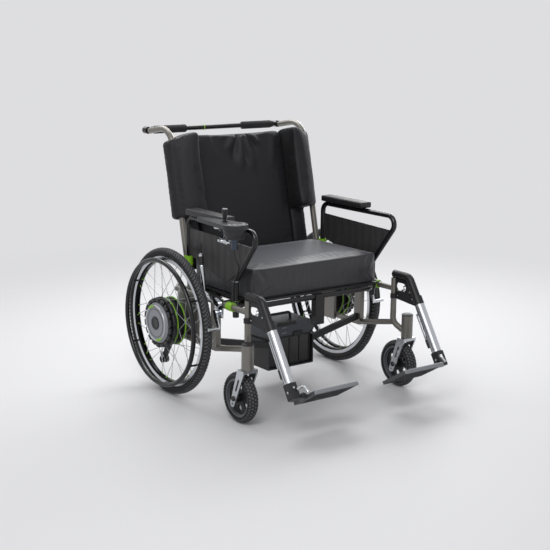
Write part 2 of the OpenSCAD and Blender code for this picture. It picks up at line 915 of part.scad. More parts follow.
// Its rings: height as a share of the edge, and how full the outline is there
bolster_ring_shares = [[0, 0.8], [0.3, 0.94], [1, 1]];

module bolster_form(w, h) {
    n = len(bolster_shares);
    mid = bolster_middle_share;
    function place(q, f, z) = [groove_x + w * (mid.x + (q.x - mid.x) * f),
        back_rear - back_depth * (mid.y + (q.y - mid.y) * f), z];
    low = [for (e = bolster_ring_shares) [for (q = bolster_shares) place(q, e[1], bolster_edge * e[0])]];
    high = [for (i = [len(bolster_ring_shares) - 1:-1:0]) let (e = bolster_ring_shares[i])
        [for (q = bolster_shares) place(q, e[1], h - bolster_edge * e[0] - bolster_fall * q.x)]];
    rings = concat(low, high);
    last = (len(rings) - 1) * n;
    points = concat([for (ring = rings) each ring],
        [place(mid, 1, 0), place(mid, 1, h - bolster_fall * mid.x + bolster_crown)]);
    walls = [for (k = [0:len(rings) - 2], i = [0:n - 1]) let (a = k * n + i, b = k * n + (i + 1) % n)
        each [[a, b + n, a + n], [a, b, b + n]]];
    ends = [for (i = [0:n - 1]) let (j = (i + 1) % n)
        each [[last + n, j, i], [last + n + 1, last + i, last + j]]];
    polyhedron(points, concat(walls, ends));
}

module bolster() {
    h = up_back(bolster_low_z, back_top_z);
    w = cane_x + back_over - groove_x;
    difference() {
        at_back(bolster_low_z) bolster_form(w, h);
        cane_line(cane_r + gap);
    }
}

// Under the bolsters the back runs down behind the seat, between the canes
module back_sling() {
    h = up_back(back_low_z, bolster_low_z + sling_lap);
    at_back(back_low_z) translate([0, back_rear, h / 2]) rotate([90, 0, 0])
        pillow(2 * (cane_x - cane_r - gap), h, sling_t, back_edge, back_crown, back_pull);
}

module back_cushion() {
    color(nylon) {
        back_middle();
        back_sling();
        both() bolster();
    }
}

// Armrests
arm_run = unit([arm_nose_y - arm_post_y, arm_knee_z - arm_z]);

// Y of the slanted front tube at a height
function arm_front_y(z) = arm_nose_y - (arm_z - z) * (arm_nose_y - arm_post_y) / (arm_z - arm_knee_z);

module arm_frame(side) {
    color(black_gloss) sided(side) {
        bent_rod([[arm_x, -arm_rear_y, arm_rear_foot_z], [arm_x, -arm_rear_y, arm_z],
            [arm_x, -arm_nose_y, arm_z], [arm_x, -arm_post_y, arm_knee_z], [arm_x, -arm_post_y, arm_foot_z]],
            arm_bend, arm_r);
    }
}

pad_edge = 8;
pad_crown = 4;
pad_pull = 2;

module arm_pad(side) {
    color(plastic) sided(side) translate([arm_x, -pad_rear_y - arm_pad_l / 2, arm_z + arm_r + gap])
        pillow(arm_pad_w, arm_pad_l, arm_pad_h, pad_edge, pad_crown, pad_pull);
}

// The guard fills the armrest's loop, a little clear of the tubes
module arm_guard(side) {
    clear = (arm_r + gap) / arm_run.y * -1;
    rear = arm_rear_y + arm_r + gap;
    color(plastic) sided(side) side_plate(arm_x - guard_t / 2, guard_t) polygon([
        [-rear, guard_top_z], [-rear, guard_rear_z], [-guard_low_y, guard_low_z],
        [clear - arm_front_y(guard_front_z), guard_front_z],
        [clear - arm_front_y(guard_top_front_z), guard_top_front_z]]);
}

// Leg rests: local +Z runs up the calf tube, local -Y points to the toes
hanger_nose_y = hanger_end_y - (hanger_z - hanger_end_z) * tan(leg_angle);
hanger_web_y = front_post_y + tube_r + gap;
foot_bore_r = calf_d / 2 - calf_wall;
foot_pin_x = frame_x - foot_block_w - foot_pin_clear;
foot_pin_y = footplate_depth / 2 - footplate_toe;
footplate_out_x = foot_pin_x - knuckle_r - gap;
footplate_in_x = footplate_out_x - footplate_w;
ear_l = 10;

module at_leg(s) {
    translate([0, -hanger_end_y - s * sin(leg_angle), hanger_end_z - s * cos(leg_angle)])
        rotate([-leg_angle, 0, 0]) children();
}

module hanger(side) {
    window_y = -(front_post_y + hanger_nose_y + window_w) / 2;
    heel_y = hanger_end_y - hanger_heel * cos(leg_angle) - hanger_heel_rise * sin(leg_angle);
    heel_z = hanger_end_z - hanger_heel * sin(leg_angle) + hanger_heel_rise * cos(leg_angle);
    window_z = hanger_z - hanger_r - 2 * window_r;
    color(black_gloss) sided(side) {
        bent_rod([[frame_x, -front_post_y, hanger_z], [frame_x, -hanger_nose_y, hanger_z],
            [frame_x, -hanger_end_y, hanger_end_z]], hanger_nose_bend, hanger_r);
        at_leg(0) translate([frame_x, 0, 0]) cylinder(h = hanger_sleeve_l, r = hanger_sleeve_r);
        difference() {
            side_plate(frame_x - hanger_web_t / 2, hanger_web_t) polygon([
                [-hanger_web_y, hanger_z], [-hanger_nose_y, hanger_z],
                [-hanger_end_y, hanger_end_z + hanger_sleeve_r], [-heel_y, heel_z],
                [-hanger_web_y, hanger_web_z]]);
            side_plate(frame_x - hanger_web_t, 2 * hanger_web_t) hull()
                for (y = [0, window_w]) translate([y + window_y, window_z]) circle(window_r, $fn = 32);
        }
        translate([frame_x, -front_post_y, front_post_h + gap - pin_h])
            cylinder(h = hanger_z - front_post_h - gap + pin_h, r = pin_r);
        difference() {
            translate([frame_x, -front_post_y, hanger_web_z]) cylinder(h = hook_h, r = hook_r);
            translate([frame_x, -front_post_y, hanger_web_z - overrun])
                cylinder(h = hook_h + 2 * overrun, r = tube_r + gap);
            translate([frame_x - 2 * hook_r, -front_post_y, hanger_web_z - overrun])
                cube([4 * hook_r, 2 * hook_r, hook_h + 2 * overrun]);
        }
    }
}

module calf_tube(side) {
    color(silver) sided(side) at_leg(calf_l) translate([frame_x, 0, 0])
        ring(calf_d / 2, foot_bore_r, calf_l);
}

// The foot tube slides in the calf tube and carries the footplate's hinge pin
module foot_tube(side) {
    block_s = calf_l + gap + foot_block_l;
    color(plastic) sided(side) {
        at_leg(calf_l + gap) translate([frame_x, 0, -foot_block_l / 2])
            cylinder(h = foot_stem_l + foot_block_l / 2, r = foot_bore_r - run_fit);
        at_leg(block_s) translate([frame_x - foot_block_w / 2, -foot_block_w / 2, 0])
            cube([foot_block_w, foot_block_w, foot_block_l]);
        at_leg(footplate_s) {
            along_y(foot_pin_x, foot_pin_y - knuckle_l / 2 - gap - ear_l, 0, knuckle_l + 2 * (gap + ear_l),
                foot_pin_r);
            for (y = [foot_pin_y - knuckle_l / 2 - gap - ear_l, foot_pin_y + knuckle_l / 2 + gap])
                translate([foot_pin_x, y, -foot_pin_r]) cube([foot_block_w / 2, ear_l, 2 * foot_pin_r]);
            translate([foot_pin_x + knuckle_r + gap, -foot_block_w / 2, -foot_pin_r])
                cube([foot_block_w / 2, foot_pin_y + knuckle_l / 2 + gap + ear_l + foot_block_w / 2,
                    2 * foot_pin_r]);
        }
    }
}

module footplate(side) {
    rib_t = 3;
    ribs = 5;
    skin = footplate_t / 3;
    color(slate) sided(side) at_leg(footplate_s) difference() {
        union() {
            translate([footplate_in_x, -footplate_toe, -footplate_t])
                cube([footplate_w, footplate_depth, footplate_t]);
            along_y(foot_pin_x, foot_pin_y - knuckle_l / 2, 0, knuckle_l, knuckle_r);
            translate([footplate_out_x - knuckle_r, foot_pin_y - knuckle_l / 2, -knuckle_r])
                cube([foot_pin_x - footplate_out_x + knuckle_r, knuckle_l, knuckle_r]);
        }
        along_y(foot_pin_x, foot_pin_y - knuckle_l, 0, 2 * knuckle_l, foot_pin_r + run_fit);
        for (i = [0:ribs - 1]) let (bay = (footplate_depth - rib_t) / ribs)
            translate([footplate_in_x + rib_t, rib_t + i * bay - footplate_toe, -footplate_t - overrun])
                cube([footplate_w - 2 * rib_t - knuckle_r, bay - rib_t, footplate_t - skin + overrun]);
    }
}

// Brakes
lever_x = frame_x + tube_r + brake_plate_t + gap;
shoe_x = lever_x + lever_t + gap;
shoe_y = brake_y - shoe_pivot_back;
shoe_z = brake_z - shoe_pivot_drop;
shoe_pin_z = shoe_z - shoe_pin_drop;
shoe_pin_y = sqrt(wheel_r * wheel_r - pow(wheel_r - shoe_pin_z, 2)) + shoe_rest_gap + shoe_pin_r;

module brake_brackets() {
    x = frame_x + tube_r;
    color(silver) both() {
        translate([x, -brake_y - brake_plate_w / 2, brake_z + 2 * lever_hub_r - brake_plate_h])
            cube([brake_plate_t, brake_plate_w, brake_plate_h]);
        cross_pin(x, -brake_y, brake_z, brake_plate_t + lever_t + gap, brake_pin_r);
        cross_pin(x, -shoe_y, shoe_z, shoe_x + shoe_t - x, brake_pin_r);
    }
}

module brake_lever(side) {
    mid = lever_x + lever_t / 2;
    foot = [mid, lever_foot_y - brake_y, brake_z + lever_foot_z];
    top = [mid, lever_top_y - brake_y, brake_z + lever_top_z];
    way = unit(top - foot);
    color(silver) sided(side) {
        difference() {
            side_plate(lever_x, lever_t) hull() {
                translate([-brake_y, brake_z]) circle(lever_hub_r, $fn = 32);
                translate([foot.y, foot.z]) circle(lever_bar_r, $fn = 32);
            }
            cross_pin(lever_x - overrun, -brake_y, brake_z, lever_t + 2 * overrun, brake_pin_r + run_fit);
        }
        rod(foot, top, lever_bar_r);
        rod(top - way * lever_grip_l, top + way * lever_grip_r, lever_grip_r);
    }
}

module brake_shoe(side) {
    color(silver) sided(side) {
        difference() {
            side_plate(shoe_x, shoe_t) hull() {
                translate([-shoe_y, shoe_z]) circle(lever_hub_r, $fn = 32);
                translate([-shoe_pin_y, shoe_pin_z]) circle(shoe_pin_r, $fn = 32);
            }
            cross_pin(shoe_x - overrun, -shoe_y, shoe_z, shoe_t + 2 * overrun, brake_pin_r + run_fit);
        }
        cross_pin(shoe_x, -shoe_pin_y, shoe_pin_z, wheel_x + tyre_w / 2 - shoe_x, shoe_pin_r);
    }
}

// Joystick, on the right armrest
joy_top_z = joy_z + joy_panel_t;
joy_low_z = joy_z - joy_drum_h;
collar_z = joy_low_z - joy_stem_h;
well_y = stick_y - joy_y;
pivot_z = joy_top_z - stick_well_h / 2;

module joystick_housing() {
    color(slate) sided(right) difference() {
        union() {
            translate([joy_x, -joy_y, joy_z]) linear_extrude(joy_panel_t) hull() {
                circle(joy_r, $fn = 32);
                translate([0, wing_root_y]) circle(wing_root_r, $fn = 32);
                translate([wing_tip_out, wing_tip_y]) circle(wing_tip_r, $fn = 32);
            }
            translate([joy_x, -joy_y, joy_low_z]) cylinder(h = joy_drum_h, r = joy_drum_r);
            translate([joy_x, -joy_y, collar_z + gap]) cylinder(h = joy_stem_h, r = joy_spigot_r);
            translate([joy_x, well_y, joy_top_z - stick_well_h - gimbal_t])
                cylinder(h = stick_well_h, r = stick_well_r + gimbal_t);
        }
        translate([joy_x, well_y, joy_top_z - stick_well_h])
            cylinder(h = stick_well_h + overrun, r = stick_well_r);
        translate([joy_x, -joy_y - button_y, joy_top_z - button_h - overrun])
            cylinder(h = button_h + 2 * overrun, r = button_r + gap);
    }
}

module joystick_gimbal() {
    ring_r = stick_well_r - gimbal_clear;
    color(silver) sided(right) translate([joy_x, well_y, pivot_z]) {
        translate([0, 0, -gimbal_t / 2]) ring(ring_r, stick_ball_r + gimbal_clear, gimbal_t);
        for (side = [left, right]) rotate([0, 90 * side, 0]) translate([0, 0, ring_r - gap])
            cylinder(h = stick_well_r - ring_r, r = gimbal_t / 3);
    }
}

module joystick_stick() {
    color(black_gloss) sided(right) translate([joy_x, well_y, pivot_z]) {
        sphere(stick_ball_r);
        cylinder(h = stick_h, r1 = stick_r, r2 = stick_r - stick_taper);
        translate([0, 0, stick_h]) cylinder(h = stick_h / 4, r1 = stick_r - stick_taper, r2 = stick_top_r);
        for (side = [left, right]) rotate([90 * side, 0, 0])
            cylinder(h = stick_ball_r + gimbal_clear - gap, r = gimbal_t / 3);
    }
}

module joystick_button() {
    color(lime) sided(right) translate([joy_x, -joy_y - button_y, joy_top_z - button_h + button_rise])
        cylinder(h = button_h, r = button_r);
}

module joystick_bracket() {
    bar_y = -bracket_rear_y - bracket_clamp_w / 2;
    bar_z = collar_z + joy_stem_h / 2;
    color(silver) sided(right) {
        translate([arm_x, -bracket_rear_y, arm_z]) rotate([90, 0, 0])
            ring(arm_r + socket_wall, arm_r, bracket_clamp_w);
        rod([arm_x + arm_r + socket_wall / 2, bar_y, arm_z], [joy_x, bar_y, bar_z], bracket_t / 2);
        translate([joy_x, bar_y, bar_z]) sphere(bracket_t / 2 + weld_lap);
        difference() {
            union() {
                rod([joy_x, bar_y, bar_z], [joy_x, -joy_y, bar_z], bracket_t / 2);
                translate([joy_x, -joy_y, collar_z]) cylinder(h = joy_stem_h - gap, r = joy_stem_r);
            }
            translate([joy_x, -joy_y, collar_z + gap / 2])
                cylinder(h = joy_stem_h + overrun, r = joy_spigot_r + run_fit);
        }
    }
}

// The joystick's cable, clipped to the front of the armrest, from the collar to the frame's socket
cable_d = 7;
cable_gap = 1;
cable_sides = 8;
cable_x = arm_x + arm_r + cable_d;
cable_way_points = [[57.3, -430, 654], [55.3, -432, 636], [47.3, -432, 620], [35.3, -426, 606],
    [25.3, -414, 592], [20.3, -402, 576], [18.3, -390, 558], [18.3, -379, 540], [18.3, -370, 522],
    [18.3, -364, 504], [18.3, -362, 486], [18.3, -362, 468]];
cable_route = concat([[joy_x, -joy_y, collar_z]], [for (q = cable_way_points) q + [arm_x, 0, 0]],
    [[cable_x, -arm_post_y - 2 * cable_gap, frame_top_z + socket_rise + cable_gap]]);

function cable_way(i) = unit(cable_route[min(i + 1, len(cable_route) - 1)] - cable_route[max(i - 1, 0)]);

module joystick_cable() {
    n = cable_sides;
    last = len(cable_route) - 1;
    points = [for (i = [0:last]) let (w = cable_way(i), u = unit(cross([1, 0, 0], w)), v = cross(w, u))
        each [for (k = [0:n - 1]) let (a = full_turn * k / n)
            cable_route[i] + cable_d / 2 * (u * cos(a) + v * sin(a))]];
    walls = [for (i = [0:last - 1], k = [0:n - 1]) let (a = i * n + k, b = i * n + (k + 1) % n)
        each [[a, a + n, b + n], [a, b + n, b]]];
    ends = [[for (k = [0:n - 1]) k], [for (k = [n - 1:-1:0]) last * n + k]];
    color(rubber) sided(right) polyhedron(points, concat(walls, ends));
}

// Battery and its tray
case_z = tray_z + tray_t + gap;
lid_z = case_z + battery_h + gap;
tray_front_y = tray_arm_y + tray_arm_w;
tray_rear_y = battery_front_y - battery_depth;

module battery_tray() {
    half = battery_w / 2 + gap;
    depth = tray_front_y - tray_rear_y + gap + tray_t;
    color(plastic) {
        translate([-half - tray_t, -tray_front_y, tray_z]) cube([2 * (half + tray_t), depth, tray_t]);
        translate([-half - tray_t, gap - tray_rear_y, tray_z])
            cube([2 * (half + tray_t), tray_t, tray_wall_h]);
        both() {
            translate([half, -tray_front_y, tray_z]) cube([tray_t, depth, tray_wall_h]);
            translate([0, -tray_arm_y, 0]) rotate([90, 0, 0]) linear_extrude(tray_arm_w) polygon([
                [half + tray_t / 2, tray_arm_z - tray_arm_h],
                [frame_x - upright_t / 2, tray_arm_out_z - tray_arm_h],
                [frame_x - upright_t / 2, tray_arm_out_z], [half + tray_t / 2, tray_arm_z]]);
        }
    }
}

module battery_case() {
    color(plastic) translate([-battery_w / 2, -battery_front_y, case_z]) difference() {
        cube([battery_w, battery_depth, battery_h]);
        translate([battery_wall, battery_wall, battery_wall])
            cube([battery_w - 2 * battery_wall, battery_depth - 2 * battery_wall, battery_h]);
    }
}

module battery_lid() {
    half = battery_handle_w / 2;
    color(slate) {
        translate([-battery_w / 2, -battery_front_y, lid_z]) cube([battery_w, battery_depth, battery_lid_h]);
        translate([0, battery_depth / 2 - battery_front_y, lid_z + battery_lid_h])
            bent_rod([[-half, 0, -battery_handle_r], [-half, 0, battery_handle_h],
                [half, 0, battery_handle_h], [half, 0, -battery_handle_r]],
                2 * battery_handle_r, battery_handle_r);
    }
}

module battery_cells() {
    columns = 2;
    cell_w = (battery_w - 2 * battery_wall - (columns + 1) * gap) / columns;
    color(silver) for (i = [0:columns - 1])
        translate([battery_wall + gap + i * (cell_w + gap) - battery_w / 2,
            battery_wall + gap - battery_front_y, case_z + battery_wall])
            cube([cell_w, battery_depth - 2 * (battery_wall + gap), battery_h - battery_wall - gap]);
}

stand() side_frames();
stand() cross_member();
stand() back_canes();
stand() seat_saddles();
stand() seat_base();
stand() seat_cushion();
stand() back_cushion();
stand() hub_motors();
stand() bearings();
stand() torque_arms();
stand() brake_brackets();
stand() battery_tray();
stand() caster_head_caps();
stand() tyre(right);  // right_tyre
stand() rim(right);  // right_rim
stand() spokes(right);  // right_spokes
stand() handrim(right);  // right_handrim
stand() hub_drum(right);  // right_hub_drum
stand() hub_cover(right);  // right_hub_cover
stand() tyre(left);  // left_tyre
stand() rim(left);  // left_rim
stand() spokes(left);  // left_spokes
stand() handrim(left);  // left_handrim
stand() hub_drum(left);  // left_hub_drum
stand() hub_cover(left);  // left_hub_cover
stand() caster_fork(right);  // right_caster_fork
stand() caster_wheel(right);  // right_caster_wheel
stand() caster_tyre(right);  // right_caster_tyre
stand() caster_fork(left);  // left_caster_fork
stand() caster_wheel(left);  // left_caster_wheel
stand() caster_tyre(left);  // left_caster_tyre
stand() push_bar();
stand() push_grips();
stand() arm_frame(right);  // right_arm_frame
stand() arm_pad(right);  // right_arm_pad
stand() arm_guard(right);  // right_arm_guard
stand() arm_frame(left);  // left_arm_frame
stand() arm_pad(left);  // left_arm_pad
stand() arm_guard(left);  // left_arm_guard
stand() hanger(right);  // right_hanger
stand() calf_tube(right);  // right_calf_tube
stand() foot_tube(right);  // right_foot_tube
stand() footplate(right);  // right_footplate
stand() hanger(left);  // left_hanger
stand() calf_tube(left);  // left_calf_tube
stand() foot_tube(left);  // left_foot_tube
stand() footplate(left);  // left_footplate
stand() brake_lever(right);  // right_brake_lever
stand() brake_shoe(right);  // right_brake_shoe
stand() brake_lever(left);  // left_brake_lever
stand() brake_shoe(left);  // left_brake_shoe
stand() joystick_housing();
stand() joystick_stick();
stand() joystick_gimbal();
stand() joystick_button();
stand() joystick_bracket();
stand() joystick_cable();
stand() battery_case();
stand() battery_lid();
stand() battery_cells();
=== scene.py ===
# Looks of a wide wheelchair with power-assist hub wheels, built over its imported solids.
import json
import math

import bpy
from bpy.props import FloatProperty, FloatVectorProperty, IntProperty, PointerProperty
from mathutils import Matrix, Vector


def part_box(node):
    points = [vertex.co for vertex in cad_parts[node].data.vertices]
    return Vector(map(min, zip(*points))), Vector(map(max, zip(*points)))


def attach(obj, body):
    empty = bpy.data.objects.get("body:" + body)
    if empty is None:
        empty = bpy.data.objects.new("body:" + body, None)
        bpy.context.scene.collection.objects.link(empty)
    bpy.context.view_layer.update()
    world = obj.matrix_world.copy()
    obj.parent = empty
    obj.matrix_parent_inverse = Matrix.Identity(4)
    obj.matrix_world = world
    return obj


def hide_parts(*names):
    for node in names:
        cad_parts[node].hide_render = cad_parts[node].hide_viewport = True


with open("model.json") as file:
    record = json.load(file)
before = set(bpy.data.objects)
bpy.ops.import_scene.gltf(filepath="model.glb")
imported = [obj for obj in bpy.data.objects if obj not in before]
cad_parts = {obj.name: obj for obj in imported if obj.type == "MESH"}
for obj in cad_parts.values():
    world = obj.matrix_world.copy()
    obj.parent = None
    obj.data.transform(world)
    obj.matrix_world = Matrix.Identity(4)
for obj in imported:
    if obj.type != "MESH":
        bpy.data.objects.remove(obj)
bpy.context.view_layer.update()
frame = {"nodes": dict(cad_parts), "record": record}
JOINTS = {j["name"]: j for j in frame["record"]["behaviour"]["joints"]}
AXLE = Vector(JOINTS["left_wheel_spin"]["pos_m"])
CASTER = Vector(JOINTS["left_caster_roll"]["pos_m"])
SIDES = {"right": -1, "left": 1}

bl_info = {
    "name": "Power-assist wheelchair",
    "version": (1, 0, 0),
    "blender": (4, 5, 0),
    "location": "3D View > Sidebar > Wheelchair",
    "description": "Dresses the solids of a power-assist wheelchair with finishes and soft pieces",
    "category": "Object",
}


def linear(hex_colour):
    """An sRGB hex colour as linear red, green, blue and alpha."""
    parts = [int(hex_colour[i:i + 2], 16) / 255 for i in (1, 3, 5)]
    return tuple(c / 12.92 if c <= 0.04045 else ((c + 0.055) / 1.055) ** 2.4 for c in parts) + (1.0,)


def mm(x, y, z):
    """A place in millimetres from the rear axle and the floor, in the shared frame."""
    return Vector((x / 1000, y / 1000 + AXLE.y, z / 1000))


def colour(name, about, value):
    return FloatVectorProperty(name=name, description=about, subtype="COLOR", size=4, min=0, max=1,
                               default=linear(value))


def length(name, about, value):
    return FloatProperty(name=name, description=about, subtype="DISTANCE", unit="LENGTH", min=0, default=value)


class ChairColours(bpy.types.PropertyGroup):
    """Colours of the finishes."""
    champagne: colour("Champagne", "Lacquer of the side frames and back canes", "#76736d")
    black: colour("Black lacquer", "Gloss black of the armrest tubes, rails and hangers", "#131315")
    lime: colour("Lime", "Moulded saddles, hub rings and spoke nipples", "#83bb26")
    nylon: colour("Nylon", "Cover of the seat and the back", "#2b2b2f")
    vinyl: colour("Vinyl", "Skin of the armrest guards", "#333132")
    rubber: colour("Rubber", "Tyres", "#2d2d2f")
    plastic: colour("Black plastic", "Moulded black pieces", "#1a1a1c")
    slate: colour("Slate plastic", "Battery lid and joystick wing", "#474c54")
    grey: colour("Grey paint", "Hub covers", "#8a8d92")
    silver: colour("Silver", "Polished and anodised aluminium", "#c2c5c9")
    floor: colour("Floor", "Studio floor and backdrop", "#dedee0")


class ChairSizes(bpy.types.PropertyGroup):
    """Sizes of the surface details."""
    thread: length("Thread", "Spacing of the nylon's threads, drawn coarser than life so that it shows", 0.0016)
    voxel: length("Cloth grain", "Size of the cloth's cells in the simulation", 0.0055)
    treads: IntProperty(name="Tread blocks", description="Blocks round each rear tyre", min=24, default=118)
    swell: length("Swell", "How far a cushion may swell", 0.010)


# Materials

def add(tree, kind, inputs, **settings):
    """Adds a node, with its settings, and sets or links its inputs."""
    n = tree.nodes.new(kind)
    for key, value in settings.items():
        setattr(n, key, value)
    for key, value in inputs.items():
        if isinstance(value, bpy.types.NodeSocket):
            tree.links.new(value, n.inputs[key])
        else:
            n.inputs[key].default_value = value
    return n


def start(name):
    """A new material with its shader and the object's own coordinates."""
    mat = bpy.data.materials.new(name)
    mat.use_nodes = True
    tree = mat.node_tree
    coords = add(tree, "ShaderNodeTexCoord", {}).outputs["Object"]
    return mat, tree, tree.nodes["Principled BSDF"], coords


def grained(name, base, fleck, metallic, roughness, grain, bump=0.0, stretch=(1, 1, 1), spread=0.08, **shader):
    """A solid finish whose colour and roughness vary over grains of a size in metres, with a bump in metres."""
    mat, tree, bsdf, coords = start(name)
    bsdf.inputs["Metallic"].default_value = metallic
    for key, value in shader.items():
        bsdf.inputs[key.replace("_", " ")].default_value = value
    place = add(tree, "ShaderNodeMapping", {"Vector": coords, "Scale": stretch})
    noise = add(tree, "ShaderNodeTexNoise", {"Vector": place.outputs[0], "Scale": 1 / grain, "Detail": 3.0})
    mix = add(tree, "ShaderNodeMix", {"Factor": noise.outputs["Fac"], "A": base, "B": fleck}, data_type="RGBA")
    tree.links.new(mix.outputs["Result"], bsdf.inputs["Base Color"])
    rough = add(tree, "ShaderNodeMapRange", {"Value": noise.outputs["Fac"], "To Min": roughness - spread,
                                            "To Max": roughness + spread})
    tree.links.new(rough.outputs[0], bsdf.inputs["Roughness"])
    if bump:
        relief = add(tree, "ShaderNodeBump", {"Height": noise.outputs["Fac"], "Distance": bump, "Strength": 1.0})
        tree.links.new(relief.outputs[0], bsdf.inputs["Normal"])
    return mat


def shade(c, k):
    """A colour made darker or lighter."""
    return tuple(min(1.0, v * k) for v in c[:3]) + (1.0,)


def woven_nylon(name, c, thread, sheen, specular, rough_range, seam=None):
    # Woven nylon: threads cross at right angles and give a soft sheen at grazing angles
    mat, tree, bsdf, coords = start(name)
    bsdf.inputs["Sheen Weight"].default_value = sheen
    bsdf.inputs["Sheen Roughness"].default_value = 0.4
    bsdf.inputs["Sheen Tint"].default_value = (0.75, 0.77, 0.85, 1)
    bsdf.inputs["Specular IOR Level"].default_value = specular
    bands = [add(tree, "ShaderNodeTexWave", {"Vector": coords, "Scale": 1 / thread / 6.283 * 2, "Distortion": 0.4,
                                             "Detail": 1.0}, wave_type="BANDS", bands_direction=d) for d in "XYZ"]
    pair = add(tree, "ShaderNodeMath", {0: bands[0].outputs["Fac"], 1: bands[1].outputs["Fac"]}, operation="MULTIPLY")
    cross = add(tree, "ShaderNodeMath", {0: pair.outputs[0], 1: bands[2].outputs["Fac"]}, operation="ADD")
    cloud = add(tree, "ShaderNodeTexNoise", {"Vector": coords, "Scale": 14.0, "Detail": 3.0})
    tone = add(tree, "ShaderNodeMix", {"Factor": cloud.outputs["Fac"], "A": shade(c, 0.85), "B": shade(c, 1.2)},
               data_type="RGBA")
    weave = add(tree, "ShaderNodeMix", {"Factor": cross.outputs[0], "A": shade(c, 0.75),
                                        "B": tone.outputs["Result"]}, data_type="RGBA")
    rough = add(tree, "ShaderNodeMapRange", {"Value": cross.outputs[0], "From Max": 2.0, "To Min": rough_range[0],
                                            "To Max": rough_range[1]})
    tone_out, rough_out = weave.outputs["Result"], rough.outputs[0]
    if seam:
        # A dark strip, 16 mm wide, on each side of the seam is painted shade, darker and rougher than the cloth
        apart = add(tree, "ShaderNodeSeparateXYZ", {0: coords})
        either = add(tree, "ShaderNodeMath", {0: apart.outputs["X"]}, operation="ABSOLUTE")
        away = add(tree, "ShaderNodeMath", {0: either.outputs[0], 1: seam, 2: 0.0}, operation="SUBTRACT")
        off = add(tree, "ShaderNodeMath", {0: away.outputs[0]}, operation="ABSOLUTE")
        seam_shade = add(tree, "ShaderNodeMapRange", {"Value": off.outputs[0], "From Min": 0.006, "From Max": 0.01})
        tone_out = add(tree, "ShaderNodeMix", {"Factor": seam_shade.outputs[0], "A": shade(c, 0.3), "B": tone_out},
                       data_type="RGBA").outputs["Result"]
        rough_out = add(tree, "ShaderNodeMapRange", {"Value": seam_shade.outputs[0], "To Min": 0.9, "To Max": rough_out}).outputs[0]
    tree.links.new(tone_out, bsdf.inputs["Base Color"])
    tree.links.new(rough_out, bsdf.inputs["Roughness"])
    relief = add(tree, "ShaderNodeBump", {"Height": cross.outputs[0], "Distance": 0.00006, "Strength": 0.5})
    tree.links.new(relief.outputs[0], bsdf.inputs["Normal"])
    return mat


def fluted_vinyl(c):
    # Vinyl stretched over a padded panel: soft, uneven upright streaks about 45 mm apart, in low relief, with their
    # lighter colour painted on as highlights
    mat, tree, bsdf, coords = start("Fluted black vinyl")
    bsdf.inputs["Specular IOR Level"].default_value = 0.45
    flutes = add(tree, "ShaderNodeTexWave", {"Vector": coords, "Scale": 0.314 / 0.045, "Distortion": 5.0, "Detail": 2.0,
                                             "Detail Scale": 0.6}, wave_type="BANDS", bands_direction="Y")
    cloud = add(tree, "ShaderNodeTexNoise", {"Vector": coords, "Scale": 1 / 0.06, "Detail": 2.0})
    soft = add(tree, "ShaderNodeMath", {0: flutes.outputs["Fac"], 1: cloud.outputs["Fac"]}, operation="MULTIPLY")
    grain = add(tree, "ShaderNodeTexVoronoi", {"Vector": coords, "Scale": 1 / 0.0014})
    # The streaks' lighter tone is painted highlight
    tone = add(tree, "ShaderNodeMix", {"Factor": soft.outputs[0], "A": shade(c, 0.85), "B": shade(c, 1.5)},
               data_type="RGBA")
    tree.links.new(tone.outputs["Result"], bsdf.inputs["Base Color"])
    rough = add(tree, "ShaderNodeMapRange", {"Value": soft.outputs[0], "To Min": 0.52, "To Max": 0.36})
    tree.links.new(rough.outputs[0], bsdf.inputs["Roughness"])
    low = add(tree, "ShaderNodeBump", {"Height": soft.outputs[0], "Distance": 0.0012, "Strength": 0.7})
    fine = add(tree, "ShaderNodeBump", {"Height": grain.outputs["Distance"], "Distance": 0.00015, "Strength": 0.6,
                                        "Normal": low.outputs[0]})
    tree.links.new(fine.outputs[0], bsdf.inputs["Normal"])
    return mat


def tread_rubber(name, centre, major, minor, c):
    # Vulcanised rubber: the grooves between the tread blocks are painted dark as shade, and the blocks' tops are paler,
    # in patches
    mat, tree, bsdf, coords = start(name)
    bsdf.inputs["Specular IOR Level"].default_value = 0.35
    place = add(tree, "ShaderNodeVectorMath", {0: coords, 1: (0, centre[1], centre[2])}, operation="SUBTRACT")
    split = add(tree, "ShaderNodeSeparateXYZ", {0: place.outputs[0]})
    flat = add(tree, "ShaderNodeVectorMath", {0: place.outputs[0], 1: (0, 1, 1)}, operation="MULTIPLY")
    reach = add(tree, "ShaderNodeVectorMath", {0: flat.outputs[0]}, operation="LENGTH")
    width = add(tree, "ShaderNodeMath", {0: split.outputs["X"]}, operation="ABSOLUTE")
    spot = add(tree, "ShaderNodeCombineXYZ", {0: width.outputs[0], 1: reach.outputs["Value"]})
    from_core = add(tree, "ShaderNodeVectorMath", {0: spot.outputs[0], 1: (centre[0], major, 0)}, operation="DISTANCE")
    high = add(tree, "ShaderNodeMapRange", {"Value": from_core.outputs["Value"], "From Min": minor + 0.0001,
                                            "From Max": minor + 0.001})
    dust = add(tree, "ShaderNodeTexNoise", {"Vector": coords, "Scale": 1 / 0.004, "Detail": 3.0})
    tops_and_groove_shade = add(tree, "ShaderNodeMath", {0: high.outputs[0], 1: dust.outputs["Fac"]}, operation="MULTIPLY")
    # Painted shade in the grooves, paler patches on the block tops
    tone = add(tree, "ShaderNodeMix", {"Factor": tops_and_groove_shade.outputs[0], "A": shade(c, 0.3), "B": shade(c, 6.0)}, data_type="RGBA")
    tree.links.new(tone.outputs["Result"], bsdf.inputs["Base Color"])
    rough = add(tree, "ShaderNodeMapRange", {"Value": dust.outputs["Fac"], "To Min": 0.48, "To Max": 0.68})
    tree.links.new(rough.outputs[0], bsdf.inputs["Roughness"])
    return mat


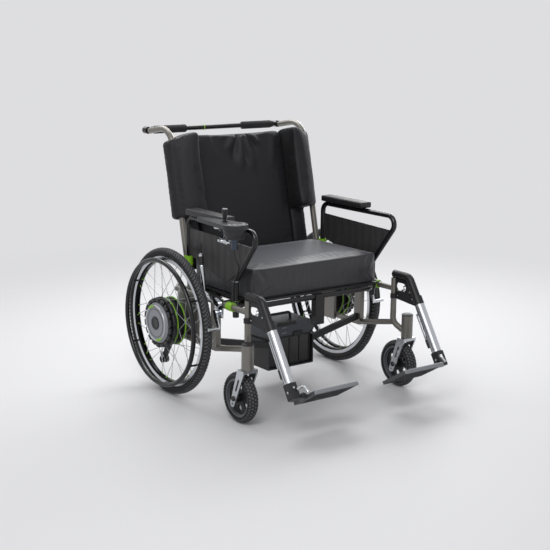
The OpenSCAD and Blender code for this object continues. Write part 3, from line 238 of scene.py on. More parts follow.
def banded(name, tones, centre, axis, edges, metallic, roughness, grain):
    """A finish of two or three tones in rings about an axis, or in layers along it where the centre is None."""
    mat, tree, bsdf, coords = start(name)
    bsdf.inputs["Metallic"].default_value = metallic
    if centre is None:
        reach = add(tree, "ShaderNodeVectorMath", {0: coords, 1: axis}, operation="DOT_PRODUCT").outputs["Value"]
    else:
        place = add(tree, "ShaderNodeVectorMath", {0: coords, 1: centre}, operation="SUBTRACT")
        flat = add(tree, "ShaderNodeVectorMath", {0: place.outputs[0], 1: tuple(1 - abs(a) for a in axis)},
                   operation="MULTIPLY")
        reach = add(tree, "ShaderNodeVectorMath", {0: flat.outputs[0]}, operation="LENGTH").outputs["Value"]
    noise = add(tree, "ShaderNodeTexNoise", {"Vector": coords, "Scale": 1 / grain, "Detail": 3.0})
    tone = tones[0]
    for edge, after in zip(edges, tones[1:]):
        step = add(tree, "ShaderNodeMapRange", {"Value": reach, "From Min": edge - 0.0005, "From Max": edge + 0.0005})
        tone = add(tree, "ShaderNodeMix", {"Factor": step.outputs[0], "A": tone, "B": after},
                   data_type="RGBA").outputs["Result"]
    speck = add(tree, "ShaderNodeMapRange", {"Value": noise.outputs["Fac"], "To Min": 0.82, "To Max": 1.15})
    mixed = add(tree, "ShaderNodeVectorMath", {0: tone, "Scale": speck.outputs[0]}, operation="SCALE")
    tree.links.new(mixed.outputs[0], bsdf.inputs["Base Color"])
    rough = add(tree, "ShaderNodeMapRange", {"Value": noise.outputs["Fac"], "To Min": roughness - 0.08,
                                            "To Max": roughness + 0.08})
    tree.links.new(rough.outputs[0], bsdf.inputs["Roughness"])
    return mat


def polished_rim(silver, black):
    # Aluminium rim, turned bright on its edges, with a black anodised well between them
    mat, tree, bsdf, coords = start("Polished aluminium with black well")
    bsdf.inputs["Metallic"].default_value = 1.0
    place = add(tree, "ShaderNodeVectorMath", {0: coords, 1: (0, AXLE.y, AXLE.z)}, operation="SUBTRACT")
    flat = add(tree, "ShaderNodeVectorMath", {0: place.outputs[0], 1: (0, 1, 1)}, operation="MULTIPLY")
    radius = add(tree, "ShaderNodeVectorMath", {0: flat.outputs[0]}, operation="LENGTH").outputs["Value"]
    well = add(tree, "ShaderNodeMapRange", {"Value": radius, "From Min": 0.2555, "From Max": 0.2575})
    rings = add(tree, "ShaderNodeTexNoise", {"Vector": radius, "Scale": 900.0, "Detail": 2.0}, noise_dimensions="3D")
    tone = add(tree, "ShaderNodeMix", {"Factor": well.outputs[0], "A": shade(black, 1.6), "B": silver}, data_type="RGBA")
    tree.links.new(tone.outputs["Result"], bsdf.inputs["Base Color"])
    rough = add(tree, "ShaderNodeMapRange", {"Value": rings.outputs["Fac"], "To Min": 0.16, "To Max": 0.36})
    tree.links.new(rough.outputs[0], bsdf.inputs["Roughness"])
    return mat


def seen_directly(tree):
    """1 for what the camera sees, straight on, in a mirror or through glass, and 0 for light that falls on the chair."""
    path = add(tree, "ShaderNodeLightPath", {})
    shine = add(tree, "ShaderNodeMath", {0: path.outputs["Is Glossy Ray"], 1: path.outputs["Is Transmission Ray"]},
                operation="MAXIMUM")
    return add(tree, "ShaderNodeMath", {0: path.outputs["Is Camera Ray"], 1: shine.outputs[0]},
               operation="MAXIMUM").outputs[0]


def studio_paint(c):
    # Matt painted floor that runs out into the pale backdrop a few metres from the chair
    mat, tree, bsdf, coords = start("Studio floor paint")
    bsdf.inputs["Base Color"].default_value = c
    bsdf.inputs["Roughness"].default_value = 0.6
    bsdf.inputs["Specular IOR Level"].default_value = 0.2
    far = add(tree, "ShaderNodeVectorMath", {0: coords}, operation="LENGTH").outputs["Value"]
    fade = add(tree, "ShaderNodeMapRange", {"Value": far, "From Min": 0.9, "From Max": 3.6}, interpolation_type="SMOOTHSTEP")
    share = add(tree, "ShaderNodeMath", {0: fade.outputs[0], 1: seen_directly(tree)}, operation="MULTIPLY")
    glow = add(tree, "ShaderNodeEmission", {"Color": c, "Strength": 1.0})
    both = add(tree, "ShaderNodeMixShader", {0: share.outputs[0], 1: bsdf.outputs[0], 2: glow.outputs[0]})
    tree.links.new(both.outputs[0], tree.nodes["Material Output"].inputs["Surface"])
    return mat


FINISH = {}


def make_finishes(c, s):
    """Builds every finish once; each is named for the real material."""
    silver = tuple(c.silver)
    # Two-coat metallic lacquer on steel tube: fine aluminium flakes under clear coat
    FINISH["champagne"] = grained("Champagne metallic lacquer", shade(c.champagne, 0.9), shade(c.champagne, 1.12), 0.55,
                                  0.36, 0.0012, Coat_Weight=0.35, Coat_Roughness=0.15)
    # Gloss lacquer on steel tube: deep, with slight orange peel
    FINISH["black"] = grained("Black gloss lacquer", shade(c.black, 0.7), shade(c.black, 1.1), 0.0, 0.24, 0.006, 0.00004,
                              Specular_IOR_Level=0.3, Coat_Weight=0.3, Coat_Roughness=0.06)
    # Powder coat on the hangers: satin, with a fine pebble
    FINISH["satin"] = grained("Satin black powder coat", shade(c.black, 0.9), shade(c.black, 1.6), 0.0, 0.42, 0.0012, 0.00005,
                              Specular_IOR_Level=0.4)
    # Glass-filled nylon in lime: satin, with a fine spark-eroded grain
    FINISH["lime"] = grained("Lime moulded nylon", shade(c.lime, 0.92), shade(c.lime, 1.06), 0.0, 0.4, 0.0012, 0.00004)
    FINISH["nylon"] = woven_nylon("Coated woven nylon", tuple(c.nylon), s.thread, 0.6, 0.5, (0.37, 0.33))
    # The back's cover is the seat's nylon drawn at 0.62 of its colour, a darker copy as painted shade, with painted
    # shade along its seams at x 0.2405
    FINISH["back_nylon"] = woven_nylon("Matt woven nylon", shade(c.nylon, 0.62), s.thread, 0.06, 0.28, (0.62, 0.5),
                                       0.2405)
    FINISH["vinyl"] = fluted_vinyl(tuple(c.vinyl))
    FINISH["tread"] = tread_rubber("Tyre rubber", (abs(AXLE.x), AXLE.y, AXLE.z), 0.286, 0.0174, tuple(c.rubber))
    FINISH["caster_tread"] = tread_rubber("Caster tyre rubber", CASTER, 0.076, 0.0224, tuple(c.rubber))
    FINISH["saddle"] = banded("Lime and black moulded nylon", (tuple(c.lime), tuple(c.plastic), tuple(c.lime)), None,
                              (0, 1, 0), (AXLE.y - 0.34, AXLE.y - 0.1), 0.0, 0.4, 0.0012)
    # Bracket of chromed steel with a blue-grey anodised collar
    FINISH["clamp"] = banded("Chrome and blue-grey anodising", (silver, linear("#454d57")), None, (-1, 0, 0), (0.4,), 0.95,
                             0.2, 0.004)
    # ABS with a spark-eroded grain: satin black
    FINISH["plastic"] = grained("Black grained ABS", shade(c.plastic, 0.85), shade(c.plastic, 1.3), 0.0, 0.46, 0.0009,
                                0.00006)
    FINISH["slate"] = grained("Slate grained ABS", shade(c.slate, 0.92), shade(c.slate, 1.1), 0.0, 0.42, 0.0009, 0.00005)
    FINISH["grey"] = grained("Silver-grey paint on ABS", shade(c.grey, 0.94), shade(c.grey, 1.06), 0.35, 0.34, 0.0008)
    # Drawn stainless steel: light lines along the wire
    FINISH["steel"] = grained("Drawn stainless steel", shade(silver, 0.8), silver, 1.0, 0.28, 0.003)
    FINISH["chrome"] = grained("Bright chrome plate", shade(silver, 1.05), shade(silver, 1.15), 1.0, 0.1, 0.02,
                               spread=0.04)
    FINISH["rim"] = polished_rim(silver, tuple(c.black))
    # Extruded aluminium, silver anodised: fine lines along the tube
    FINISH["anodised"] = grained("Silver anodised aluminium", shade(silver, 0.92), shade(silver, 1.06), 1.0, 0.3, 0.0015,
                                 0.00002, stretch=(1, 0.2, 0.2))
    # Foam rubber sleeve: open pores about 1.5 mm across
    FINISH["foam"] = grained("Black foam rubber", shade(c.plastic, 0.7), shade(c.plastic, 1.4), 0.0, 0.8, 0.0015, 0.0003)
    FINISH["smoke"] = grained("Smoked polycarbonate", shade(c.plastic, 0.9), shade(c.plastic, 1.2), 0.0, 0.16, 0.05,
                              spread=0.04, Transmission_Weight=0.25)
    FINISH["cable"] = grained("Black cable rubber", shade(c.plastic, 0.8), shade(c.plastic, 1.2), 0.0, 0.5, 0.003)
    # Glass-filled nylon plate: dull grey with a pebbled mould grain
    FINISH["footplate"] = grained("Grey glass-filled nylon", linear("#45464a"), linear("#57585b"), 0.0, 0.4, 0.001,
                                  0.00008)
    # The same nylon, painted pale along the toe as a highlight
    FINISH["toe_edge_highlight"] = grained("Grey nylon with painted toe highlight", linear("#7d8085"), linear("#8f9296"), 0.0, 0.36, 0.001, 0.00006)
    # Moulded caster wheel: black web inside a bare aluminium rim
    FINISH["caster"] = banded("Black nylon web with aluminium rim", (linear("#1d1d20"), linear("#6b6e73")),
                              CASTER, (1, 0, 0), (0.066,), 0.25, 0.4, 0.002)
    # Joystick case: blue-grey spigot, black drum and slate top, moulded in ABS
    FINISH["joystick_case"] = banded("Joystick case ABS", (linear("#5b6572"), linear("#141417"), linear("#1e2126")), None,
                                     (0, 0, 1), (0.712, 0.7525), 0.0, 0.36, 0.0009)


NODE_FINISH = {
    "side_frames": "champagne", "cross_member": "black", "back_canes": "champagne", "seat_saddles": "saddle",
    "seat_base": "plastic", "hub_motors": "steel", "bearings": "steel", "torque_arms": "plastic",
    "brake_brackets": "chrome", "battery_tray": "plastic", "caster_head_caps": "plastic", "push_bar": "black",
    "joystick_housing": "joystick_case", "joystick_stick": "plastic", "joystick_gimbal": "steel", "joystick_button": "lime",
    "joystick_bracket": "clamp", "battery_case": "smoke", "battery_lid": "slate", "battery_cells": "plastic",
}
SIDE_FINISH = {
    "rim": "rim", "spokes": "steel", "handrim": "black", "hub_drum": "plastic", "hub_cover": "grey",
    "caster_fork": "anodised", "caster_wheel": "caster", "arm_frame": "black", "arm_guard": "vinyl",
    "hanger": "satin", "calf_tube": "anodised", "foot_tube": "plastic", "footplate": "footplate",
    "brake_lever": "chrome", "brake_shoe": "chrome", "tyre": "tread", "caster_tyre": "caster_tread",
}


# Shaping

def fresh():
    """Leaves edit mode with nothing selected."""
    if bpy.context.mode != "OBJECT":
        bpy.ops.object.mode_set(mode="OBJECT")
    bpy.ops.object.select_all(action="DESELECT")


def settle(name, finish, body, angle=35):
    """Fixes the active piece's place in its mesh, and gives it its name, finish and body."""
    if bpy.context.mode != "OBJECT":
        bpy.ops.object.mode_set(mode="OBJECT")
    piece = bpy.context.object
    piece.name = name
    piece.data.name = name
    bpy.ops.object.transform_apply(location=True, rotation=True, scale=True)
    bpy.ops.object.shade_smooth_by_angle(angle=math.radians(angle))
    piece.data.materials.clear()
    piece.data.materials.append(FINISH[finish])
    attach(piece, body)
    return piece


def modifier(kind, **settings):
    """Adds a modifier to the active piece and applies it."""
    piece = bpy.context.object
    m = piece.modifiers.new(kind.lower(), kind)
    for key, value in settings.items():
        setattr(m, key, value)
    bpy.ops.object.modifier_apply(modifier=m.name)


def pointing(place, way):
    """A matrix that carries local +Z to a direction at a place."""
    return Matrix.Translation(place) @ Vector((0, 0, 1)).rotation_difference(Vector(way)).to_matrix().to_4x4()


def turned(profile, place, way, sides=48):
    """A solid of revolution: a disc drawn out along its axis, from (radius, height) to the next, in metres."""
    fresh()
    r, z = profile[0]
    bpy.ops.mesh.primitive_circle_add(vertices=sides, radius=r, fill_type="NGON", location=(0, 0, z))
    bpy.ops.object.mode_set(mode="EDIT")
    bpy.ops.mesh.select_all(action="SELECT")
    for r_next, z_next in profile[1:]:
        bpy.ops.mesh.extrude_region_move(TRANSFORM_OT_translate={"value": (0, 0, z_next - z)})
        bpy.ops.transform.resize(value=(r_next / r, r_next / r, 1))
        r, z = r_next, z_next
    bpy.ops.mesh.select_all(action="SELECT")
    bpy.ops.mesh.normals_make_consistent(inside=False)
    bpy.ops.object.mode_set(mode="OBJECT")
    piece = bpy.context.object
    piece.matrix_world = pointing(place, way) @ piece.matrix_world
    return piece


def block(size, centre, bevel, segments=3, turn=(0, 0, 0)):
    """A cube at its size, with rounded edges; sizes in metres, turn in radians."""
    fresh()
    bpy.ops.mesh.primitive_cube_add(size=1)
    piece = bpy.context.object
    piece.scale = size
    bpy.ops.object.transform_apply(location=False, rotation=False, scale=True)
    bpy.ops.object.mode_set(mode="EDIT")
    bpy.ops.mesh.select_all(action="SELECT")
    bpy.ops.mesh.bevel(offset=bevel, segments=segments, affect="EDGES")
    bpy.ops.object.mode_set(mode="OBJECT")
    piece.rotation_euler = turn
    piece.location = centre
    return piece


def swell(piece, cap, pins=None, pressure=4.0, shrink=0.0, frames=20):
    """Blows a closed cover up with Cloth, and keeps every point within cap of where it began."""
    fresh()
    piece.select_set(True)
    bpy.context.view_layer.objects.active = piece
    before = [v.co.copy() for v in piece.data.vertices]
    if pins:
        group = piece.vertex_groups.new(name="held")
        group.add(pins, 1.0, "REPLACE")
    cloth = piece.modifiers.new("cover", "CLOTH")
    cloth.settings.use_pressure = True
    cloth.settings.uniform_pressure_force = pressure
    cloth.settings.shrink_min = shrink
    cloth.settings.effector_weights.gravity = 0
    cloth.settings.quality = 4
    if pins:
        cloth.settings.vertex_group_mass = "held"
    cloth.point_cache.frame_start = 1
    cloth.point_cache.frame_end = frames
    for f in range(1, frames + 1):
        bpy.context.scene.frame_set(f)
    bpy.ops.object.modifier_apply(modifier="cover")
    bpy.context.scene.frame_set(1)
    for v, b in zip(piece.data.vertices, before):
        step = v.co - b
        if step.length > cap:
            v.co = b + step * (cap / step.length)
    piece.vertex_groups.clear()


# Soft pieces

def remesh(size):
    modifier("REMESH", mode="VOXEL", voxel_size=size, use_smooth_shade=True)


def crease(v, centre, way, reach, width, depth, push):
    """Moves a point by a soft fold: a ridge along a line from centre in a direction, fading at its ends."""
    d = v - centre
    along = d.dot(way)
    across = (d - way * along).length
    if across > 3 * width or not -0.3 * reach < along < 1.3 * reach:
        return Vector((0, 0, 0))
    fade = math.exp(-((along / reach - 0.4) / 0.45) ** 4)
    return push * depth * fade * math.exp(-(across / width) ** 2)


class WHEELCHAIR_OT_finishes(bpy.types.Operator):
    """Gives every solid that stays in view its finish"""
    bl_idname = "wheelchair.finishes"
    bl_label = "Finishes"

    def execute(self, context):
        make_finishes(context.scene.chair_colours, context.scene.chair_sizes)
        names = dict(NODE_FINISH)
        names.update({f"{side}_{part}": f for side in SIDES for part, f in SIDE_FINISH.items()})
        for name, finish in names.items():
            mesh = frame["nodes"][name].data
            mesh.materials.clear()
            mesh.materials.append(FINISH[finish])
        return {"FINISHED"}


class WHEELCHAIR_OT_cable(bpy.types.Operator):
    """Makes the joystick's cable, from its collar down the armrest to the frame"""
    bl_idname = "wheelchair.cable"
    bl_label = "Joystick cable"

    def execute(self, context):
        route = [(412, -430, 672), (412, -430, 654), (410, -432, 636), (402, -432, 620), (390, -426, 606),
                 (380, -414, 592), (375, -402, 576), (373, -390, 558), (373, -379, 540), (373, -370, 522),
                 (373, -364, 504), (373, -362, 486), (373, -362, 468), (373, -362, 453)]
        points = [mm(-x, y, z) for x, y, z in route]
        curve = bpy.data.curves.new("joystick_lead", "CURVE")
        curve.dimensions = "3D"
        curve.bevel_depth = 0.0035
        curve.bevel_resolution = 4
        curve.use_fill_caps = True
        spline = curve.splines.new("POLY")
        spline.points.add(len(points) - 1)
        for p, q in zip(spline.points, points):
            p.co = (*q, 1)
        lead = bpy.data.objects.new("joystick_lead", curve)
        context.scene.collection.objects.link(lead)
        curve.materials.append(FINISH["cable"])
        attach(lead, "right_armrest")
        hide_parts("joystick_cable")
        return {"FINISHED"}


def tube(points, radius, closed=False):
    """A round bar along a line of points."""
    curve = bpy.data.curves.new("bar", "CURVE")
    curve.dimensions = "3D"
    curve.bevel_depth = radius
    curve.bevel_resolution = 3
    curve.use_fill_caps = True
    line = curve.splines.new("POLY")
    line.use_cyclic_u = closed
    line.points.add(len(points) - 1)
    for p, q in zip(line.points, points):
        p.co = (*q, 1)
    fresh()
    piece = bpy.data.objects.new("bar", curve)
    bpy.context.scene.collection.objects.link(piece)
    piece.select_set(True)
    bpy.context.view_layer.objects.active = piece
    bpy.ops.object.convert(target="MESH")
    return bpy.context.object


def eased(points, steps=8):
    """A smooth line through points."""
    line = []
    ends = [points[0]] + list(points) + [points[-1]]
    for a, b, c, d in zip(ends, ends[1:], ends[2:], ends[3:]):
        for i in range(steps):
            t = i / steps
            line.append(0.5 * (2 * b + (c - a) * t + (2 * a - 5 * b + 4 * c - d) * t * t + (3 * b - a - 3 * c + d) * t ** 3))
    return line + [points[-1]]


class WHEELCHAIR_OT_seat(bpy.types.Operator):
    """Makes the seat cushion: a boxed nylon cover over foam, creased at its corners"""
    bl_idname = "wheelchair.seat"
    bl_label = "Seat cushion"

    def execute(self, context):
        s = context.scene.chair_sizes
        lo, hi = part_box("seat_cushion")
        swell_by = s.swell * 0.5
        size = hi - lo - Vector((2 * swell_by, 2 * swell_by, swell_by))
        centre = (lo + hi) / 2 - Vector((0, 0, swell_by / 2))
        cushion = block(size, centre, 0.006, 3)
        bpy.ops.object.transform_apply(location=True, rotation=True, scale=True)
        remesh(s.voxel)
        # The seams along the box's edges hold while its faces crown
        reach = size / 2 - Vector((0.009, 0.009, 0.009))
        pins = [v.index for v in cushion.data.vertices
                if v.co.z < lo.z + 0.004 or sum(abs(a) > b for a, b in zip(v.co - centre, reach)) > 1]
        swell(cushion, s.swell, pins, 3.0, -0.004)
        modifier("SMOOTH", factor=0.5, iterations=1)
        front, side, top = Vector((0, -1, 0)), Vector((1, 0, 0)), Vector((0, 0, 1))
        folds = []
        for k in (-1, 1):
            corner = Vector((k * (hi.x - 0.012), lo.y, hi.z - 0.012))
            low = Vector((k * (hi.x - 0.012), lo.y, lo.z + 0.014))
            folds += [(corner, Vector((-k * 0.5, 0, -0.87)), 0.075, 0.009, 0.004, front),
                      (corner + Vector((-k * 0.022, 0, 0)), Vector((-k * 0.62, 0, -0.78)), 0.055, 0.007, -0.0035, front),
                      (corner + Vector((-k * 0.04, 0, 0)), Vector((-k * 0.75, 0, -0.66)), 0.045, 0.007, 0.003, front),
                      (low, Vector((-k * 0.8, 0, 0.6)), 0.07, 0.008, 0.004, front),
                      (low + Vector((-k * 0.03, 0, 0)), Vector((-k * 0.85, 0, 0.52)), 0.06, 0.007, -0.0035, front),
                      (corner + Vector((0, 0.03, 0)), Vector((0, 0.55, -0.83)), 0.06, 0.009, 0.004, side * k),
                      (corner + Vector((-k * 0.02, 0.02, 0.012)), Vector((-k * 0.7, 0.7, 0)), 0.09, 0.012, 0.003, top)]
        for v in cushion.data.vertices:
            for fold in folds:
                v.co += crease(v.co, *fold)
            v.co.z = max(v.co.z, lo.z)
        cushion = settle("seat_cover", "nylon", "frame", 60)
        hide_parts("seat_cushion")
        ring = []
        half = (hi - lo) / 2
        mid = (lo + hi) / 2
        for i in range(240):
            t = 2 * math.pi * i / 240
            c, n = math.cos(t), math.sin(t)
            bend = (abs(c) ** 14 + abs(n) ** 14) ** (-1 / 14)
            ring.append(mid + Vector((half.x * c * bend, half.y * n * bend, half.z - 0.001)))
        # A sewn cord edge lies on the cover's surface, round its top
        tube([cushion.closest_point_on_mesh(q)[1] for q in ring], 0.0016, True)
        settle("seat_welt", "nylon", "frame", 60)
        return {"FINISHED"}


def node_copy(node):
    """A new object with a copy of a solid's mesh, its loose triangles merged."""
    fresh()
    piece = bpy.data.objects.new("copy", frame["nodes"][node].data.copy())
    bpy.context.scene.collection.objects.link(piece)
    piece.select_set(True)
    bpy.context.view_layer.objects.active = piece
    bpy.ops.object.mode_set(mode="EDIT")
    bpy.ops.mesh.select_all(action="SELECT")
    bpy.ops.mesh.remove_doubles(threshold=0.00001)
    bpy.ops.object.mode_set(mode="OBJECT")
    return piece


class WHEELCHAIR_OT_back(bpy.types.Operator):
    """Makes the back cushion: two bolsters and a middle panel under one draped cover"""
    bl_idname = "wheelchair.back"
    bl_label = "Back cushion"

    def execute(self, context):
        s = context.scene.chair_sizes
        lean = math.radians(13)
        origin = mm(0, 6, 563)
        up = Vector((0, math.sin(lean), math.cos(lean)))
        out = Vector((0, -math.cos(lean), math.sin(lean)))
        cover = node_copy("back_cushion")
        # The cover is drawn in by the swell to come; the bores round the canes keep their size
        skin = cover.vertex_groups.new(name="skin")
        skin.add([v.index for v in cover.data.vertices
                  if math.hypot(abs(v.co.x) - 0.345, (v.co - origin).dot(out)) > 0.0165], 1.0, "REPLACE")
        modifier("DISPLACE", strength=-0.003, mid_level=0.0, vertex_group="skin")
        remesh(s.voxel)
        modifier("SMOOTH", factor=0.5, iterations=3)
        pins = []
        for v in cover.data.vertices:
            rise, depth = (v.co - origin).dot(up), (v.co - origin).dot(out)
            bore = math.hypot(abs(v.co.x) - 0.345, depth)
            if depth < -0.046 or bore < 0.019 or (0.234 < abs(v.co.x) < 0.246 and depth < -0.014):
                pins.append(v.index)
        swell(cover, s.swell * 0.7, pins, 4.0, -0.008)
        modifier("SMOOTH", factor=0.5, iterations=3)
        # Foam rounds the bolsters' inner edges
        edges = cover.vertex_groups.new(name="edges")
        edges.add([v.index for v in cover.data.vertices if 0.24 < abs(v.co.x) < 0.266 and (v.co - origin).dot(out) > -0.012],
                  1.0, "REPLACE")
        modifier("SMOOTH", factor=0.5, iterations=10, vertex_group="edges")
        top = (1064 - 563) / 1000 / math.cos(lean)
        low = (715 - 563) / 1000 / math.cos(lean)
        # Drape folds fan out from the middle of the top hem: (start x, end x, reach down, width, height)
        drape = [(-0.012, -0.085, 0.10, 0.016, 0.010), (0.002, -0.048, 0.14, 0.013, -0.009), (0.012, -0.006, 0.17, 0.016, 0.010),
                 (0.020, 0.030, 0.15, 0.012, -0.009), (0.026, 0.066, 0.18, 0.017, 0.011), (0.040, 0.100, 0.11, 0.013, -0.009),
                 (0.056, 0.125, 0.08, 0.013, 0.008), (-0.16, -0.13, 0.12, 0.018, 0.005), (0.19, 0.16, 0.16, 0.018, 0.005),
                 (-0.06, -0.12, 0.05, 0.011, 0.006)]
        folds = []
        for x0, x1, reach, width, height in drape:
            start_at = origin + up * (top - 0.006) + out * -0.018 + Vector((x0, 0, 0))
            way = (Vector((x1 - x0, 0, 0)) - up * reach).normalized()
            folds.append((start_at, way, reach * 1.1, width, height * 1.35, out))
        for v in cover.data.vertices:
            d = v.co - origin
            rise, depth, x = d.dot(up), d.dot(out), abs(v.co.x)
            if x < 0.236 and depth > -0.035:
                for fold in folds:
                    v.co += crease(v.co, *fold)
            # The seam between the middle and a bolster is drawn in
            if depth < 0.02:
                v.co -= out * 0.014 * math.exp(-((x - 0.2405) / 0.007) ** 2)
            # Puckers along the bolsters' hems
            if x > 0.244 and depth > -0.044:
                edge = min(abs(rise - low), abs(rise - top + 0.027 * (x - 0.24) / 0.135))
                run = x * 1.1 - depth
                ripple = math.sin(run / 0.0042 + 2.3 * math.sin(run / 0.021)) * math.exp(-(edge / 0.016) ** 2)
                v.co += (out + Vector((math.copysign(0.6, v.co.x), 0, 0))) * 0.0016 * ripple
            # No cane shows through the cover
            from_cane = Vector((v.co.x - math.copysign(0.345, v.co.x), 0, 0)) + out * (v.co - origin).dot(out)
            if 0.001 < from_cane.length < 0.0148:
                v.co += from_cane * (0.0148 / from_cane.length - 1)
        cover = settle("back_cover", "back_nylon", "frame", 60)
        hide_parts("back_cushion")
        return {"FINISHED"}


class WHEELCHAIR_OT_pads(bpy.types.Operator):
    """Makes the two arm pads of skinned foam"""
    bl_idname = "wheelchair.pads"
    bl_label = "Arm pads"

    def execute(self, context):
        for side in SIDES:
            lo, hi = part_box(f"{side}_arm_pad")
            pad = block(hi - lo, (lo + hi) / 2, 0.008, 4)
            bpy.ops.object.transform_apply(location=True, rotation=True, scale=True)
            modifier("SUBSURF", levels=1, render_levels=1)
            pad = settle(f"{side}_pad_skin", "plastic", f"{side}_armrest", 50)
            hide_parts(f"{side}_arm_pad")
        return {"FINISHED"}


class WHEELCHAIR_OT_grips(bpy.types.Operator):
    """Makes the foam grips of the push bar"""
    bl_idname = "wheelchair.grips"
    bl_label = "Push bar grips"

    def execute(self, context):
        grips = []
        lo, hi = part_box("push_grips")
        y, z, r = (lo.y + hi.y) / 2, (lo.z + hi.z) / 2, (hi.z - lo.z) / 2
        for k in SIDES.values():
            run, inner = 0.165, hi.x - 0.165
            profile = [(r - 0.005, 0), (r - 0.001, 0.003), (r, 0.007), (r, run - 0.007), (r - 0.001, run - 0.003),
                       (r - 0.005, run)]
            grips.append(turned(profile, Vector((k * inner, y, z)), (k, 0, 0)))
        for o in grips:
            o.select_set(True)
        bpy.ops.object.join()
        piece = settle("foam_grips", "foam", "push_bar")
        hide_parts("push_grips")
        return {"FINISHED"}


def wheel_place(side, x=0.0):
    """The middle of a rear wheel, moved outwards by x metres."""
    k = SIDES[side]
    return Vector((k * (abs(AXLE.x) + x), AXLE.y, AXLE.z))


def joined(pieces):
    """Several pieces made one, with the last as the active one."""
    fresh()
    for o in pieces:
        o.select_set(True)
    bpy.context.view_layer.objects.active = pieces[-1]
    bpy.ops.object.transform_apply(location=True, rotation=True, scale=True)
    if len(pieces) > 1:
        bpy.ops.object.join()
    return bpy.context.object


def round_array(piece, centre, axis, count):
    """Copies a piece round an axis, count times in a full turn."""
    fresh()
    bpy.ops.object.empty_add(location=(0, 0, 0))
    pivot = bpy.context.object
    step = Matrix.Rotation(2 * math.pi / count, 4, Vector(axis))
    pivot.matrix_world = Matrix.Translation(centre) @ step @ Matrix.Translation(-Vector(centre))
    bpy.context.view_layer.update()
    fresh()
    piece.select_set(True)
    bpy.context.view_layer.objects.active = piece
    bpy.ops.object.transform_apply(location=True, rotation=True, scale=True)
    modifier("ARRAY", count=count, use_relative_offset=False, use_object_offset=True, offset_object=pivot)
    bpy.data.objects.remove(pivot)
    return piece


def hoop(major, minor, place, way, sides=96, round_sides=12):
    """A round ring about a direction."""
    fresh()
    bpy.ops.mesh.primitive_torus_add(major_radius=major, minor_radius=minor, major_segments=sides,
                                     minor_segments=round_sides)
    piece = bpy.context.object
    piece.matrix_world = pointing(place, way)
    bpy.ops.object.transform_apply(location=True, rotation=True, scale=True)
    return piece


def screw(place, way, r=0.006, h=0.004):
    """A button-head screw with a hex socket."""
    piece = turned([(r, -0.0005), (r, h * 0.4), (r * 0.86, h * 0.8), (r * 0.6, h)], place, way, 24)
    bpy.ops.object.mode_set(mode="EDIT")
    bpy.ops.mesh.inset(thickness=r * 0.12, depth=0)
    bpy.ops.mesh.inset(thickness=r * 0.06, depth=-h * 0.5)
    bpy.ops.object.mode_set(mode="OBJECT")
    return piece


def treaded(name, centre, major, minor, seat, rows, count, size, body, finish):
    """A tyre: a ring cut flat at its seat, with rows of tread blocks."""
    tyre = hoop(major, minor, centre, (1, 0, 0), 128, 28)
    for v in tyre.data.vertices:
        flat = Vector((0, v.co.y - centre.y, v.co.z - centre.z))
        if flat.length < seat:
            flat *= seat / flat.length
            v.co.y, v.co.z = centre.y + flat.y, centre.z + flat.z
    parts = [tyre]
    for angle, turn, shift in rows:
        a = math.radians(angle)
        place = centre + Vector((math.sin(a) * minor, 0, major + math.cos(a) * minor))
        cube = block(size, (0, 0, 0), min(size) * 0.22, 1, (0, 0, turn))
        bpy.ops.object.transform_apply(location=False, rotation=True, scale=True)
        cube.matrix_world = pointing(place, (math.sin(a), 0, math.cos(a)))
        bpy.ops.object.transform_apply(location=True, rotation=True, scale=True)
        cube.matrix_world = (Matrix.Translation(centre) @ Matrix.Rotation(shift * 2 * math.pi / count, 4, "X")
                             @ Matrix.Translation(-centre))
        parts.append(round_array(cube, centre, (1, 0, 0), count))
    joined(parts[::-1])
    return settle(name, finish, body, 40)


class WHEELCHAIR_OT_tyres(bpy.types.Operator):
    """Makes the treaded rear tyres and caster tyres"""
    bl_idname = "wheelchair.tyres"
    bl_label = "Tyres"

    def execute(self, context):
        count = context.scene.chair_sizes.treads
        for side, k in SIDES.items():
            rows = ((-58, 0.5, 0.25), (-34, 0.5, 0), (-11, -0.5, 0.5), (11, 0.5, 0), (34, -0.5, 0.5), (58, -0.5, 0.75))
            piece = treaded(f"{side}_treaded_tyre", wheel_place(side), 0.286, 0.0174, 0.2712, rows, count,
                            (0.0072, 0.0092, 0.0026), f"{side}_wheel", "tread")
            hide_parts(f"{side}_tyre")
            centre = Vector(JOINTS[f"{side}_caster_roll"]["pos_m"])
            rows = ((-56, 0.6, 0.5), (-28, 0.6, 0), (0, -0.6, 0.5), (28, 0.6, 0), (56, -0.6, 0.5))
            piece = treaded(f"{side}_caster_tread", centre, 0.076, 0.0224, 0.0762, rows, 42,
                            (0.0078, 0.0088, 0.0026), f"{side}_caster_roller", "caster_tread")
            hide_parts(f"{side}_caster_tyre")
        return {"FINISHED"}


